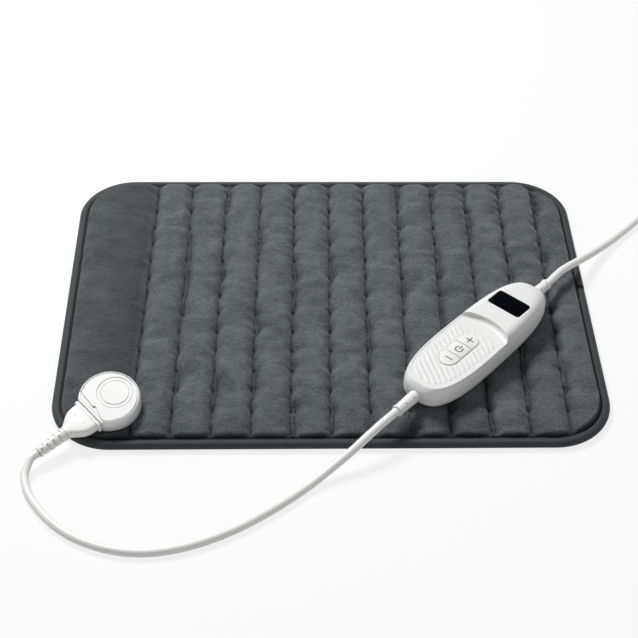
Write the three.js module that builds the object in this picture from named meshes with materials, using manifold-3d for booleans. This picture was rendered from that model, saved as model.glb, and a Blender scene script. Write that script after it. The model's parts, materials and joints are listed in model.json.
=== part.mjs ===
// Electric heating pad with a hand controller, a detachable pad plug and a mains lead.
// Millimetres, +Z up. The origin is on the floor under the middle of the pad,
// +X runs along the pad's long side and +Y across it, away from the user.
import * as THREE from "three";
import { mergeVertices } from "three/addons/utils/BufferGeometryUtils.js";
import Module from "manifold-3d";

const wasm = await Module();
wasm.setup();

// Clearance between pieces that touch
const CLEAR = 0.3;

// Pad: plan
const PAD_LENGTH = 400;
const PAD_WIDTH = 300;
const PAD_CORNER = 44;
const CORNER_STEPS = 6;

// Pad: layers, from the floor up
const BINDING_FABRIC = 1.1;
const BINDING_ROLL = 1.5;
const BINDING_WIDTH = 8.5;
const BINDING_ROLL_WIDTH = 5.8;
const BINDING_FLANGE = 0.7;
const BINDING_FOLD = 2.7;
const HEM = 0.6;
const CARRIER_THICK = 0.6;
const TOP_HEM = 1.4;
const WIRE_DIAMETER = 1.8;
const SEAM_FELT = 0.9;
const SEAT_FELT = 1.7;
const CHANNEL_RISE = 5.3;
const POCKET_INSET = 12;

// Pad: sewn channels, which run across the pad
const PLAIN_PANEL = 60.4;
const SEAM_PITCH = 28.15;
const LAST_PANEL = 25;
const SEAM_LEAN = 3;
const EDGE_EASE = 11;
const WIRE_INSET = 34;
const RETURN_INSET = 20;

// Pad: lap where the two ends of the binding meet on the right-hand edge
const LAP_START = 15;
const LAP_LENGTH = 28;
const LAP_THICK = 0.9;

// Socket on the pad
const SOCKET_FROM_LEFT = 47;
const SOCKET_FROM_FRONT = 38;
const SOCKET_TURN = 222;
const SOCKET_TILT = 12;
const SOCKET_RISE = 6;
const SOCKET_WIDTH = 44;
const SOCKET_FRONT = 22.8;
const SOCKET_BACK = 16.8;
const SOCKET_CORNER = 6;
const SOCKET_HEIGHT = 11.2;
const SOCKET_SPLIT = 5.6;
const SOCKET_WALL = 1.7;
const SEAT_MARGIN = 2;
const MOUND_FLARE = 8;
const MOUND_DEPTH = 10.2;
const LID_ROUND = 2.8;
const LID_LINE_INSET = 1.7;
const LID_LINE_WIDTH = 0.5;
const LID_LINE_DEPTH = 0.9;
const LID_RING_INNER = 9.7;
const LID_RING_OUTER = 12.9;
const LID_RING_DEPTH = 0.45;
const LIP_DROP = 0.9;
const LIP_START = 17;
const LIP_SWEEP = 5;
const BLOCK_BACK = -2;
const BLOCK_DEPTH = 8;
const BLOCK_WIDTH = 24;
const PIN_SPACING = 7.5;
const PIN_DIAMETER = 2;
const PIN_TAIL_DIAMETER = 1.6;
const PIN_TAIL_AT = 2;
const PIN_TAIL_DROP = 3.6;
const PIN_REACH = 15.5;
const BACKING_AT = -9.4;
const BACKING_LENGTH = 11;
const BACKING_WIDTH = 22;
const BACKING_CORNER = 3;
const SOCKET_SCREW_SPACING = 7;
const SOCKET_SCREW_SHANK = 2.2;
const SOCKET_SCREW_HEAD = 5;
const SOCKET_SCREW_HEAD_THICK = 0.9;
const SOCKET_POST = 6;
const SOCKET_POST_HEIGHT = 4.6;
const FUSE_LINK_DIAMETER = 3.4;
const FUSE_LINK_LENGTH = 11;

// Pad plug
const NOSE_WIDTH = 25.2;
const NOSE_HEIGHT = 6.4;
const NOSE_REACH = 14.2;
const NOSE_CORNER = 1.4;
const SLEEVE_WALL = 0.5;
const SLEEVE_LENGTH = 9.4;
const FLANGE_WIDTH = 28;
const FLANGE_HEIGHT = 9;
const FLANGE_THICK = 2.3;
const FLANGE_CORNER = 3;
const GRIP_LENGTH = 19.2;
const GRIP_WIDTH = 24.5;
const GRIP_SHOULDER = 1.8;
const GRIP_HEIGHT = 8.4;
const GRIP_CORNER = 3.2;
const GRIP_DIMPLE = 1.1;
const GRIP_DIMPLE_SPACING = 5;
const PLUG_BOOT_LENGTH = 22.7;
const PLUG_BOOT_ROOT = 9.4;
const PLUG_BOOT_TIP = 7.8;
const PLUG_BOOT_SLOTS = 8;
const PLUG_BOOT_SLOT = 1.4;
const PLUG_BOOT_SPINE = 1.2;

// Controller: place on the pad and outer case
const CONTROLLER_FROM_RIGHT = 108.7;
const CONTROLLER_FROM_FRONT = 68.5;
const CONTROLLER_TURN = 47.4;
const CASE_LENGTH = 146;
const CASE_WIDTH = 46.5;
const CASE_TAPER = 1.3;
const CASE_MIDDLE = 23;
const CASE_POWER = 3;
const CASE_STEPS = 32;
const CASE_HEIGHT = 24;
const CASE_SPLIT = 10;
const CASE_WALL = 2;
const TOP_ROUND = 8.6;
const BOTTOM_ROUND = 7;
const ROUND_POWER = 2.6;
const END_DRAW = 2.6;

// Controller: key face, step and ribs
const KEY_FACE = 19.5;
const KEY_RIM = 1.3;
const KEY_RIM_RISE = 0.4;
const STEP_FROM_END = 67;
const STEP_BOW = 7.5;
const STEP_FILLET = 3.6;
const RIB_PITCH = 4;
const RIB_WIDTH = 1.5;
const RIB_HEIGHT = 0.4;
const RIB_ANGLE = 57;
const RIB_MARGIN = 3.2;
const RIB_FROM_STEP = 7;

// Controller: keys and their switches
const KEY_ROW = 38;
const KEY_WIDTH = 14;
const POWER_KEY_LENGTH = 12.2;
const KEY_GAP = 0.4;
const KEY_RAISE = 0.8;
const KEY_EDGE = 0.5;
const KEY_FLANGE = 1;
const KEY_FLANGE_THICK = 0.8;
const KEY_TRAVEL = 0.7;
const SWITCH_SIZE = 6;
const SWITCH_HEIGHT = 3.5;
const PLUNGER_DIAMETER = 3.4;
const PLUNGER_LENGTH = 1.9;

// Controller: display, board and what is on the board
const SCREEN_FROM_END = 35.9;
const SCREEN_LENGTH = 16.2;
const SCREEN_WIDTH = 27.8;
const SCREEN_CORNER = 2;
const SCREEN_FLANGE = 1.3;
const SCREEN_FLANGE_THICK = 0.8;
const BOARD_THICK = 1.6;
const BOARD_INSET = 6;
const CAPACITOR_FROM_END = 20.4;
const CAPACITOR_LENGTH = 6;
const CAPACITOR_HEIGHT = 8;
const CAPACITOR_FROM_POST = 0.7;
const TRIAC_FROM_END = 51;
const TRIAC_SIZE = [4.6, 10, 8.6];
const FUSE_FROM_END = 60;
const FUSE_DIAMETER = 5.2;
const FUSE_LENGTH = 20;

// Controller: case screws
const FRONT_SCREW_FROM_END = 23;
const REAR_SCREW_FROM_END = 20;
const SCREW_FROM_SIDE = 8.9;
const CASE_SCREW_SHANK = 2.6;
const CASE_SCREW_HEAD = 5;
const CASE_SCREW_HEAD_THICK = 1.8;
const CASE_SCREW_SINK = 2.4;
const CASE_SCREW_LENGTH = 11;
const CASE_POST = 7.4;

// Controller: strain reliefs
const BOOT_DIAMETER = 9;
const BOOT_TIP = 7.6;
const BOOT_COLLAR = 8.6;
const BOOT_COLLAR_LENGTH = 2.4;
const BOOT_FLANGE = 12;
const BOOT_FLANGE_THICK = 1.8;
const BOOT_NECK = 2.6;
const FRONT_BOOT_LENGTH = 20;
const REAR_BOOT_LENGTH = 15;
const BOOT_SIDES = 16;
const BOOT_HOLE = 1.2;
const BOOT_HOLE_DEPTH = 1;
const BOOT_HOLE_TURN = 38;
const BOOT_HOLE_FROM_CASE = 4;
const BOOT_HOLE_SPACING = 8;

// Cords
const CORD_DIAMETER = 6;
const CORD_SIDES = 10;
const PAD_CORD_STEPS = 34;
const RUN_STEPS = 14;
const TAIL_STEPS = 6;

// Mains lead: coil and its tie
const COIL_X = 318;
const COIL_Y = 102;
const COIL_ENTRY = 137;
const COIL_TURNS_IN = 3;
const COIL_PITCH = 6.5;
const COIL_INNER = 27;
const COIL_LOOP_STEPS = 24;
const COIL_SIDES = 6;
const TIE_AT = 45;
const TIE_THICK = 1;
const TIE_WIDTH = 9;
const TIE_CORNER = 2;

// Mains plug
const TAIL_LENGTH = 58;
const MAINS_BODY_LENGTH = 35;
const MAINS_BODY_WIDTH = 35.3;
const MAINS_BODY_HEIGHT = 13.7;
const MAINS_BODY_CORNER = 5;
const MAINS_RELIEF_LENGTH = 22;
const MAINS_RELIEF_DIAMETER = 9;
const MAINS_PIN_SPACING = 18.6;
const MAINS_PIN_DIAMETER = 4;
const MAINS_PIN_LENGTH = 19;
const MAINS_PIN_ROOT = 6;

// Heights worked out from the layers
const bottomTongueLow = BINDING_FABRIC + CLEAR;
const bottomTop = bottomTongueLow + HEM;
const carrierLow = bottomTop + CLEAR;
const carrierTop = carrierLow + CARRIER_THICK;
const coverLow = carrierTop + CLEAR;
const tongueTop = coverLow + TOP_HEM;
const slotTop = tongueTop + CLEAR;
const bindingTop = slotTop + BINDING_ROLL;
const wireMiddle = carrierTop + CLEAR + WIRE_DIAMETER / 2;
const pocketTop = wireMiddle + WIRE_DIAMETER / 2 + CLEAR;
const seamTop = pocketTop + SEAM_FELT;
const crestTop = seamTop + CHANNEL_RISE;
const seatTop = pocketTop + SEAT_FELT;
const socketLow = seatTop + CLEAR;
const socketSplit = socketLow + SOCKET_SPLIT;
const socketTop = socketLow + SOCKET_HEIGHT;
const socketFloor = socketLow + SOCKET_WALL;
const socketCeiling = socketTop - SOCKET_WALL;
const plugAxis = (socketFloor + socketCeiling) / 2;
const controllerLow = crestTop + CLEAR;

// Places worked out from the plan
const halfLength = PAD_LENGTH / 2;
const halfWidth = PAD_WIDTH / 2;
const coverInset = BINDING_WIDTH + CLEAR;
const tongueInset = BINDING_FOLD + CLEAR;
const firstSeam = PLAIN_PANEL - halfLength;
const seamRoom = PAD_LENGTH - PLAIN_PANEL - LAST_PANEL;
const seamCount = Math.floor(seamRoom / SEAM_PITCH) + 1;
const socketX = SOCKET_FROM_LEFT - halfLength;
const socketY = SOCKET_FROM_FRONT - halfWidth;
const controllerX = halfLength - CONTROLLER_FROM_RIGHT;
const controllerY = CONTROLLER_FROM_FRONT - halfWidth;
const caseFront = CASE_MIDDLE - CASE_LENGTH / 2;
const caseRear = CASE_MIDDLE + CASE_LENGTH / 2;
const stepAt = caseRear - STEP_FROM_END;
const ribEnd = stepAt - RIB_FROM_STEP;
const screenAt = caseRear - SCREEN_FROM_END;
const radians = THREE.MathUtils.degToRad;

// Colours from the photograph
const look = (color, roughness, metalness = 0) =>
  new THREE.MeshStandardMaterial({ color, roughness, metalness });
const fleece = () => look(0x62666a, 0.95);
const felt = () => look(0x8a8c8e, 0.95);
const bindingCloth = () => look(0x4a4d50, 0.85);
const whitePlastic = () => look(0xf0f0ee, 0.35);
const paleKey = () => look(0xe9e9e7, 0.45);
const greyPlastic = () => look(0x9a9a98, 0.6);
const blackGloss = () => look(0x07090d, 0.08);
const boardGreen = () => look(0x1f5a36, 0.6);
const redWire = () => look(0x9c2f28, 0.6);
const steel = () => look(0xb9bcc0, 0.35, 1);
const brass = () => look(0xc8a860, 0.3, 1);
const softVinyl = () => look(0xeeeeec, 0.5);
const glass = () => look(0xdfe6e8, 0.1);

// Closed geometry to a solid for cuts and joins; triangles that fold to a line are left out.
function solid(geometry) {
  const bare = new THREE.BufferGeometry();
  const loose = geometry.index ? geometry.toNonIndexed() : geometry;
  bare.setAttribute("position", loose.getAttribute("position"));
  const merged = mergeVertices(bare, 1e-4);
  const kept = [];
  for (let i = 0; i < merged.index.count; i += 3) {
    const [a, b, c] = [0, 1, 2].map((corner) => merged.index.getX(i + corner));
    if (a !== b && b !== c && c !== a) kept.push(a, b, c);
  }
  const vertProperties = new Float32Array(merged.getAttribute("position").array);
  return new wasm.Manifold(new wasm.Mesh({ numProp: 3, vertProperties, triVerts: new Uint32Array(kept) }));
}

// A solid back to geometry
function geometryOf(body) {
  const { vertProperties, triVerts } = body.getMesh();
  const geometry = new THREE.BufferGeometry();
  geometry.setAttribute("position", new THREE.BufferAttribute(vertProperties, 3));
  geometry.setIndex(new THREE.BufferAttribute(triVerts, 1));
  const flat = geometry.toNonIndexed();
  flat.computeVertexNormals();
  return flat;
}

const cut = (body, ...tools) => tools.reduce((rest, tool) => rest.subtract(tool), body);
const join = (body, ...more) => more.reduce((sum, piece) => sum.add(piece), body);

function mesh(name, shape, material) {
  const geometry = shape.isBufferGeometry ? shape : geometryOf(shape);
  const piece = new THREE.Mesh(geometry, material);
  piece.name = name;
  return piece;
}

// Straight prism over an outline, from one height to another
function prism(outline, low, high) {
  const shape = new THREE.Shape(outline);
  const geometry = new THREE.ExtrudeGeometry(shape, { depth: high - low, bevelEnabled: false });
  return solid(geometry.translate(0, 0, low));
}

function box(low, high) {
  const size = high.map((value, axis) => value - low[axis]);
  const middle = high.map((value, axis) => (value + low[axis]) / 2);
  return solid(new THREE.BoxGeometry(...size).translate(...middle));
}

// Turned solid about Z: pairs of radius and height, from the lower axis point to the upper one
function turned(profile, sides) {
  const points = profile.map(([radius, height]) => new THREE.Vector2(radius, height));
  return new THREE.LatheGeometry(points, sides).rotateX(Math.PI / 2);
}

const rod = (diameter, low, high, sides = 12) =>
  turned([[0, low], [diameter / 2, low], [diameter / 2, high], [0, high]], sides);

const alongX = (geometry) => geometry.rotateY(Math.PI / 2);
const alongY = (geometry) => geometry.rotateX(-Math.PI / 2);

// Closed skin over rings of equal count; each ring turns anticlockwise seen from the far end.
function loft(rings) {
  const count = rings[0].length;
  const positions = rings.flat().flatMap((point) => [point.x, point.y, point.z]);
  const index = [];
  for (let level = 0; level + 1 < rings.length; level += 1) {
    for (let side = 0; side < count; side += 1) {
      const next = (side + 1) % count;
      const [a, b] = [level * count + side, level * count + next];
      index.push(a, b, b + count, a, b + count, a + count);
    }
  }
  const last = (rings.length - 1) * count;
  for (let side = 1; side + 1 < count; side += 1) {
    index.push(0, side + 1, side, last, last + side, last + side + 1);
  }
  const geometry = new THREE.BufferGeometry();
  geometry.setAttribute("position", new THREE.Float32BufferAttribute(positions, 3));
  geometry.setIndex(index);
  return geometry.toNonIndexed();
}

const ringAt = (outline, z) => outline.map((point) => new THREE.Vector3(point.x, point.y, z));
const ringAcross = (outline, x) => outline.map((point) => new THREE.Vector3(x, point.x, point.y));

// Rectangle with round corners about the origin, anticlockwise
function roundedOutline(length, width, radius, steps = CORNER_STEPS) {
  const points = [];
  const corners = [[1, 1], [-1, 1], [-1, -1], [1, -1]];
  corners.forEach(([sideX, sideY], quarter) => {
    for (let step = 0; step <= steps; step += 1) {
      const angle = ((quarter + step / steps) * Math.PI) / 2;
      const x = sideX * (length / 2 - radius) + radius * Math.cos(angle);
      const y = sideY * (width / 2 - radius) + radius * Math.sin(angle);
      points.push(new THREE.Vector2(x, y));
    }
  });
  return points;
}

const padOutline = (inset) => roundedOutline(PAD_LENGTH - 2 * inset, PAD_WIDTH - 2 * inset, PAD_CORNER - inset);

// Round section of a tube
function circle(diameter, sides) {
  const points = [];
  for (let side = 0; side < sides; side += 1) {
    const angle = (side / sides) * 2 * Math.PI;
    points.push(new THREE.Vector2(Math.cos(angle), Math.sin(angle)).multiplyScalar(diameter / 2));
  }
  return points;
}

// Tube of even steps along a smooth curve
function cord(points, steps) {
  const extrudePath = new THREE.CatmullRomCurve3(points, false, "centripetal");
  const shape = new THREE.Shape(circle(CORD_DIAMETER, CORD_SIDES));
  return new THREE.ExtrudeGeometry(shape, { steps, extrudePath, bevelEnabled: false });
}

// Tube with one ring at each given point, for wound and laid wire that keeps near one plane
function laidTube(points, diameter, sides) {
  const section = circle(diameter, sides);
  const rings = points.map((point, at) => {
    const before = points[Math.max(at - 1, 0)];
    const after = points[Math.min(at + 1, points.length - 1)];
    const ahead = after.clone().sub(before).normalize();
    const across = new THREE.Vector3(0, 0, 1).cross(ahead).normalize();
    const up = ahead.clone().cross(across);
    return section.map((spot) => point.clone().addScaledVector(across, spot.x).addScaledVector(up, spot.y));
  });
  return loft(rings);
}

// Middle line of a seam, counted from the left; a half count lies between two seams.
const seamX = (count, y) => firstSeam + count * SEAM_PITCH + SEAM_LEAN * (y / halfWidth);

// Place on the pad of a point in the socket's own frame, which is turned, tilted to the front and raised
const socketAngles = new THREE.Euler(radians(SOCKET_TILT), 0, radians(SOCKET_TURN));
const socketPlace = new THREE.Vector3(socketX, socketY, SOCKET_RISE);
const socketPoint = (ahead, aside, height) =>
  new THREE.Vector3(ahead, aside, height).applyEuler(socketAngles).add(socketPlace);

const onPad = (body) =>
  body.rotate([0, 0, SOCKET_TURN]).rotate([SOCKET_TILT, 0, 0]).translate(socketPlace.toArray());

// Edge binding: a rolled strip with a slot for the hems, lapped once on the right-hand edge
function edgeBinding() {
  const wide = BINDING_WIDTH;
  const roll = bindingTop / 2;
  const section = [];
  const rollSteps = 6;
  for (let step = 0; step <= rollSteps; step += 1) {
    const angle = Math.PI * (step / rollSteps - 0.5);
    section.push([roll * (1 - Math.cos(angle)), roll * (1 + Math.sin(angle))]);
  }
  const flangeTop = slotTop + BINDING_FLANGE;
  section.push([BINDING_ROLL_WIDTH - BINDING_ROLL / 2, bindingTop - BINDING_FLANGE / 4]);
  section.push([BINDING_ROLL_WIDTH, flangeTop], [wide, flangeTop], [wide, slotTop]);
  section.push([BINDING_FOLD, slotTop], [BINDING_FOLD, BINDING_FABRIC], [wide, BINDING_FABRIC], [wide, 0]);

  const lapStep = 0.4;
  const stations = [
    { y: LAP_START - lapStep, lap: 0 },
    { y: LAP_START, lap: LAP_THICK },
    { y: LAP_START + LAP_LENGTH / 2, lap: LAP_THICK / 2 },
    { y: LAP_START + LAP_LENGTH, lap: 0 },
  ];
  const ring = ([inset, height]) => {
    const outer = inset < BINDING_FOLD || height > slotTop;
    const lapped = stations.map(({ y, lap }) => {
      const swell = outer ? lap : 0;
      const rise = height > roll ? swell : 0;
      return new THREE.Vector3(halfLength - inset + (inset < wide / 2 ? swell : 0), y, height + rise);
    });
    return [...lapped, ...ringAt(padOutline(inset), height)];
  };
  const rings = section.map(ring);
  const count = rings[0].length;
  const positions = rings.flat().flatMap((point) => [point.x, point.y, point.z]);
  const index = [];
  for (let level = 0; level < rings.length; level += 1) {
    const above = (level + 1) % rings.length;
    for (let side = 0; side < count; side += 1) {
      const next = (side + 1) % count;
      const [a, b] = [level * count + side, level * count + next];
      const [c, d] = [above * count + next, above * count + side];
      index.push(a, b, c, a, c, d);
    }
  }
  const geometry = new THREE.BufferGeometry();
  geometry.setAttribute("position", new THREE.Float32BufferAttribute(positions, 3));
  geometry.setIndex(index);
  return solid(geometry);
}

// Height of the quilted face: puffed channels between seams, eased down to the binding
function quiltHeight(x, y, reach) {
  const count = (x - SEAM_LEAN * (y / halfWidth) - firstSeam) / SEAM_PITCH;
  const left = coverInset - halfLength;
  const right = halfLength - coverInset;
  let across = count - Math.floor(count);
  if (count < 0) across = (x - left) / (seamX(0, y) - left);
  if (count > seamCount - 1) across = (x - seamX(seamCount - 1, y)) / (right - seamX(seamCount - 1, y));
  const puff = Math.sqrt(Math.max(0, Math.sin(Math.PI * THREE.MathUtils.clamp(across, 0, 1))));
  const fromEnd = Math.min((reach - Math.abs(y)) / EDGE_EASE, 1);
  const ease = 1 - (1 - fromEnd) ** 2;
  const edge = tongueTop + CLEAR;
  const full = seamTop + CHANNEL_RISE * puff * ease;
  return edge + (full - edge) * Math.min(1, 0.2 + ease);
}

// Columns of the quilted face: four to a channel, and a few on the plain panels beside them
function quiltColumns() {
  const left = coverInset - halfLength;
  const right = halfLength - coverInset;
  const last = seamX(seamCount - 1, 0);
  const columns = [0, 0.08, 0.25, 0.5, 0.75, 0.92].map((part) => left + (firstSeam - left) * part);
  for (let seam = 0; seam < seamCount - 1; seam += 1) {
    for (const part of [0, 0.2, 0.5, 0.8]) columns.push(seamX(seam + part, 0));
  }
  for (const part of [0, 0.25, 0.6, 1]) columns.push(last + (right - last) * part);
  return columns;
}

function topCover() {
  const left = coverInset - halfLength;
  const right = halfLength - coverInset;
  const radius = PAD_CORNER - coverInset;
  const reachAt = (x) => {
    const past = Math.max(0, Math.abs(x) - (right - radius));
    return halfWidth - coverInset - radius + Math.sqrt(Math.max(0, radius ** 2 - past ** 2));
  };
  const rowParts = [-1, -0.97, -0.91, -0.8, -0.6, -0.36, -0.12, 0.12, 0.36, 0.6, 0.8, 0.91, 0.97, 1];
  const columns = quiltColumns();
  const grid = columns.map((column) => rowParts.map((part) => {
    const lean = column > left && column < right ? SEAM_LEAN * part : 0;
    const x = THREE.MathUtils.clamp(column + lean, left, right);
    const y = part * reachAt(x);
    return new THREE.Vector3(x, y, quiltHeight(x, y, reachAt(x)));
  }));
  const wide = columns.length;
  const deep = rowParts.length;
  const positions = grid.flat().flatMap((point) => [point.x, point.y, point.z]);
  const index = [];
  for (let column = 0; column + 1 < wide; column += 1) {
    for (let row = 0; row + 1 < deep; row += 1) {
      const a = column * deep + row;
      index.push(a, a + deep, a + deep + 1, a, a + deep + 1, a + 1);
    }
  }
  const rim = [];
  for (let column = 0; column < wide; column += 1) rim.push(column * deep);
  for (let row = 1; row < deep; row += 1) rim.push((wide - 1) * deep + row);
  for (let column = wide - 2; column >= 0; column -= 1) rim.push(column * deep + deep - 1);
  for (let row = deep - 2; row > 0; row -= 1) rim.push(row);
  const foot = positions.length / 3;
  const under = rim.map((at) => new THREE.Vector2(positions[3 * at], positions[3 * at + 1]));
  under.forEach((point) => positions.push(point.x, point.y, coverLow));
  rim.forEach((at, side) => {
    const next = (side + 1) % rim.length;
    index.push(foot + side, foot + next, rim[next], foot + side, rim[next], at);
  });
  THREE.ShapeUtils.triangulateShape(under, []).forEach(([a, b, c]) => index.push(foot + a, foot + c, foot + b));
  const geometry = new THREE.BufferGeometry();
  geometry.setAttribute("position", new THREE.Float32BufferAttribute(positions, 3));
  geometry.setIndex(index);

  const hem = prism(padOutline(tongueInset), coverLow, tongueTop);
  const pocket = prism(padOutline(POCKET_INSET), coverLow - 1, pocketTop);
  const sky = crestTop + SOCKET_RISE + SOCKET_WIDTH / 2;
  const socketSeat = onPad(prism(socketOutline(-SEAT_MARGIN), seatTop, sky));
  const backingRoom = onPad(prism(backingOutline(CLEAR), coverLow - sky, pocketTop));
  const plugLane = FLANGE_WIDTH / 2 + SEAT_MARGIN;
  const plugSeat = onPad(box([0, -plugLane, seatTop], [PAD_CORNER + BINDING_WIDTH, plugLane, sky]));
  const holes = socketPins().map(({ aside }) => onPad(tailHole(aside)));
  const screwHoles = socketScrewSides().map((aside) => onPad(socketScrewHole(aside)));
  const raised = join(solid(geometry), hem, socketMound(sky));
  return cut(raised, pocket, backingRoom, socketSeat, plugSeat, ...holes, ...screwHoles);
}

// Padding gathered up under the tilted socket
function socketMound(sky) {
  const rings = [1, 0.4, 0].map((part) =>
    ringAt(socketOutline(-SEAT_MARGIN - MOUND_FLARE * part ** 2), seatTop - MOUND_DEPTH * part));
  const abovePocket = prism(padOutline(coverInset + CLEAR), (pocketTop + seatTop) / 2, sky);
  return onPad(solid(loft(rings))).intersect(abovePocket);
}

function bottomCover() {
  const sheet = prism(padOutline(coverInset), 0, bottomTop);
  return join(sheet, prism(padOutline(tongueInset), bottomTongueLow, bottomTop));
}

const heatingCarrier = () => prism(padOutline(tongueInset), carrierLow, carrierTop);

// Heating wire: out from one pin, through every channel in turn, and back along the far side to the other pin
function heatingWire() {
  const at = (x, y) => new THREE.Vector3(x, y, wireMiddle);
  const pinClear = (PIN_TAIL_DIAMETER + WIRE_DIAMETER) / 2 + CLEAR;
  const start = socketPoint(PIN_TAIL_AT, PIN_SPACING, 0);
  const finish = socketPoint(PIN_TAIL_AT, -PIN_SPACING, 0);
  const low = WIRE_INSET - halfWidth;
  const high = halfWidth - WIRE_INSET;
  const leadY = RETURN_INSET + WIRE_DIAMETER - halfWidth;
  const runs = seamCount - 1;
  const points = [at(start.x + pinClear * 0.6, start.y - pinClear)];
  points.push(at(start.x + 2 * pinClear, leadY + pinClear), at(start.x + 5 * pinClear, leadY));
  points.push(at(seamX(0.5, low) - 2 * pinClear, leadY + pinClear));
  const bendSteps = 6;
  const bend = SEAM_PITCH / 2;
  for (let run = 0; run < runs; run += 1) {
    const outward = run % 2 === 0;
    const [from, to] = outward ? [low, high] : [high, low];
    points.push(at(seamX(run + 0.5, from), from), at(seamX(run + 0.5, to), to));
    const middle = seamX(run + 1, to);
    for (let step = 1; step < bendSteps && run + 1 < runs; step += 1) {
      const angle = Math.PI * (1 - step / bendSteps);
      const bulge = bend * 0.8 * Math.sin(angle) * (outward ? 1 : -1);
      points.push(at(middle + bend * Math.cos(angle), to + bulge));
    }
  }
  const back = halfWidth - RETURN_INSET;
  const side = RETURN_INSET + BINDING_WIDTH - halfLength;
  const ease = 8;
  const lastX = seamX(runs - 0.5, high);
  if (runs % 2 === 0) {
    points.push(at(lastX + bend * 0.7, low - ease), at(lastX + bend, low), at(lastX + bend, high));
  }
  points.push(at(points.at(-1).x - ease / 4, back - ease / 2), at(points.at(-1).x - ease, back));
  points.push(at(side + ease, back), at(side, back - ease), at(side, finish.y + ease));
  points.push(at(side + ease / 2, finish.y + ease / 4), at(finish.x - pinClear, finish.y));
  const wireSides = 6;
  return laidTube(points, WIRE_DIAMETER, wireSides);
}

// Outline of the socket in its own frame: round at the back, flat at the front where the plug goes in
function socketOutline(inset) {
  const half = SOCKET_WIDTH / 2;
  const arc = (x, y, radius, from, to, steps) => {
    const points = [];
    for (let step = 0; step <= steps; step += 1) {
      const angle = radians(from + ((to - from) * step) / steps);
      points.push(new THREE.Vector2(x + radius * Math.cos(angle), y + radius * Math.sin(angle)));
    }
    return points;
  };
  const middle = half - SOCKET_BACK;
  const cornerX = SOCKET_FRONT - SOCKET_CORNER;
  const cornerY = Math.sqrt((half - SOCKET_CORNER) ** 2 - (cornerX - middle) ** 2);
  const sweep = THREE.MathUtils.radToDeg(Math.atan2(cornerY, cornerX - middle));
  return [
    ...arc(cornerX, -cornerY, SOCKET_CORNER - inset, -sweep, 0, 3),
    ...arc(cornerX, cornerY, SOCKET_CORNER - inset, 0, sweep, 3),
    ...arc(middle, 0, half - inset, sweep, 360 - sweep, 14).slice(1, -1),
  ];
}


const socketPins = () => [-1, 0, 1].map((place) => ({ place, aside: place * PIN_SPACING }));
const socketScrewSides = () => [-SOCKET_SCREW_SPACING, SOCKET_SCREW_SPACING];

// Straight hole below a pin's tail, and one round a socket screw
function tailHole(aside) {
  const hole = rod(PIN_TAIL_DIAMETER + 2 * CLEAR, coverLow - PIN_TAIL_DROP - 1, plugAxis, 12);
  return solid(hole.translate(PIN_TAIL_AT, aside, 0));
}

function socketScrewHole(aside) {
  const top = socketFloor + SOCKET_POST_HEIGHT - SOCKET_WALL;
  const hole = rod(SOCKET_SCREW_SHANK + 2 * CLEAR, coverLow - 1, top, 12);
  return solid(hole.translate(BACKING_AT, aside, 0));
}

// Mouth that the nose of the plug goes into
function socketMouth() {
  const wide = NOSE_WIDTH / 2 + CLEAR;
  const tall = NOSE_HEIGHT / 2 + CLEAR;
  return box([BLOCK_BACK + BLOCK_DEPTH, -wide, plugAxis - tall], [SOCKET_FRONT + 1, wide, plugAxis + tall]);
}

function socketBase() {
  const foot = 0.6;
  const top = socketSplit - CLEAR / 2;
  const outer = solid(loft([
    ringAt(socketOutline(foot), socketLow),
    ringAt(socketOutline(0), socketLow + foot),
    ringAt(socketOutline(0), top),
  ]));
  const hollow = prism(socketOutline(SOCKET_WALL), socketFloor, top + 1);
  const postTop = Math.min(top, socketFloor + SOCKET_POST_HEIGHT - foot);
  const posts = socketScrewSides().map((aside) =>
    solid(rod(SOCKET_POST, socketFloor - foot, postTop).translate(BACKING_AT, aside, 0)));
  const tailHoles = socketPins().map(({ aside }) => tailHole(aside));
  const screwHoles = socketScrewSides().map(socketScrewHole);
  return cut(join(cut(outer, hollow), ...posts), socketMouth(), ...tailHoles, ...screwHoles);
}

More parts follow.
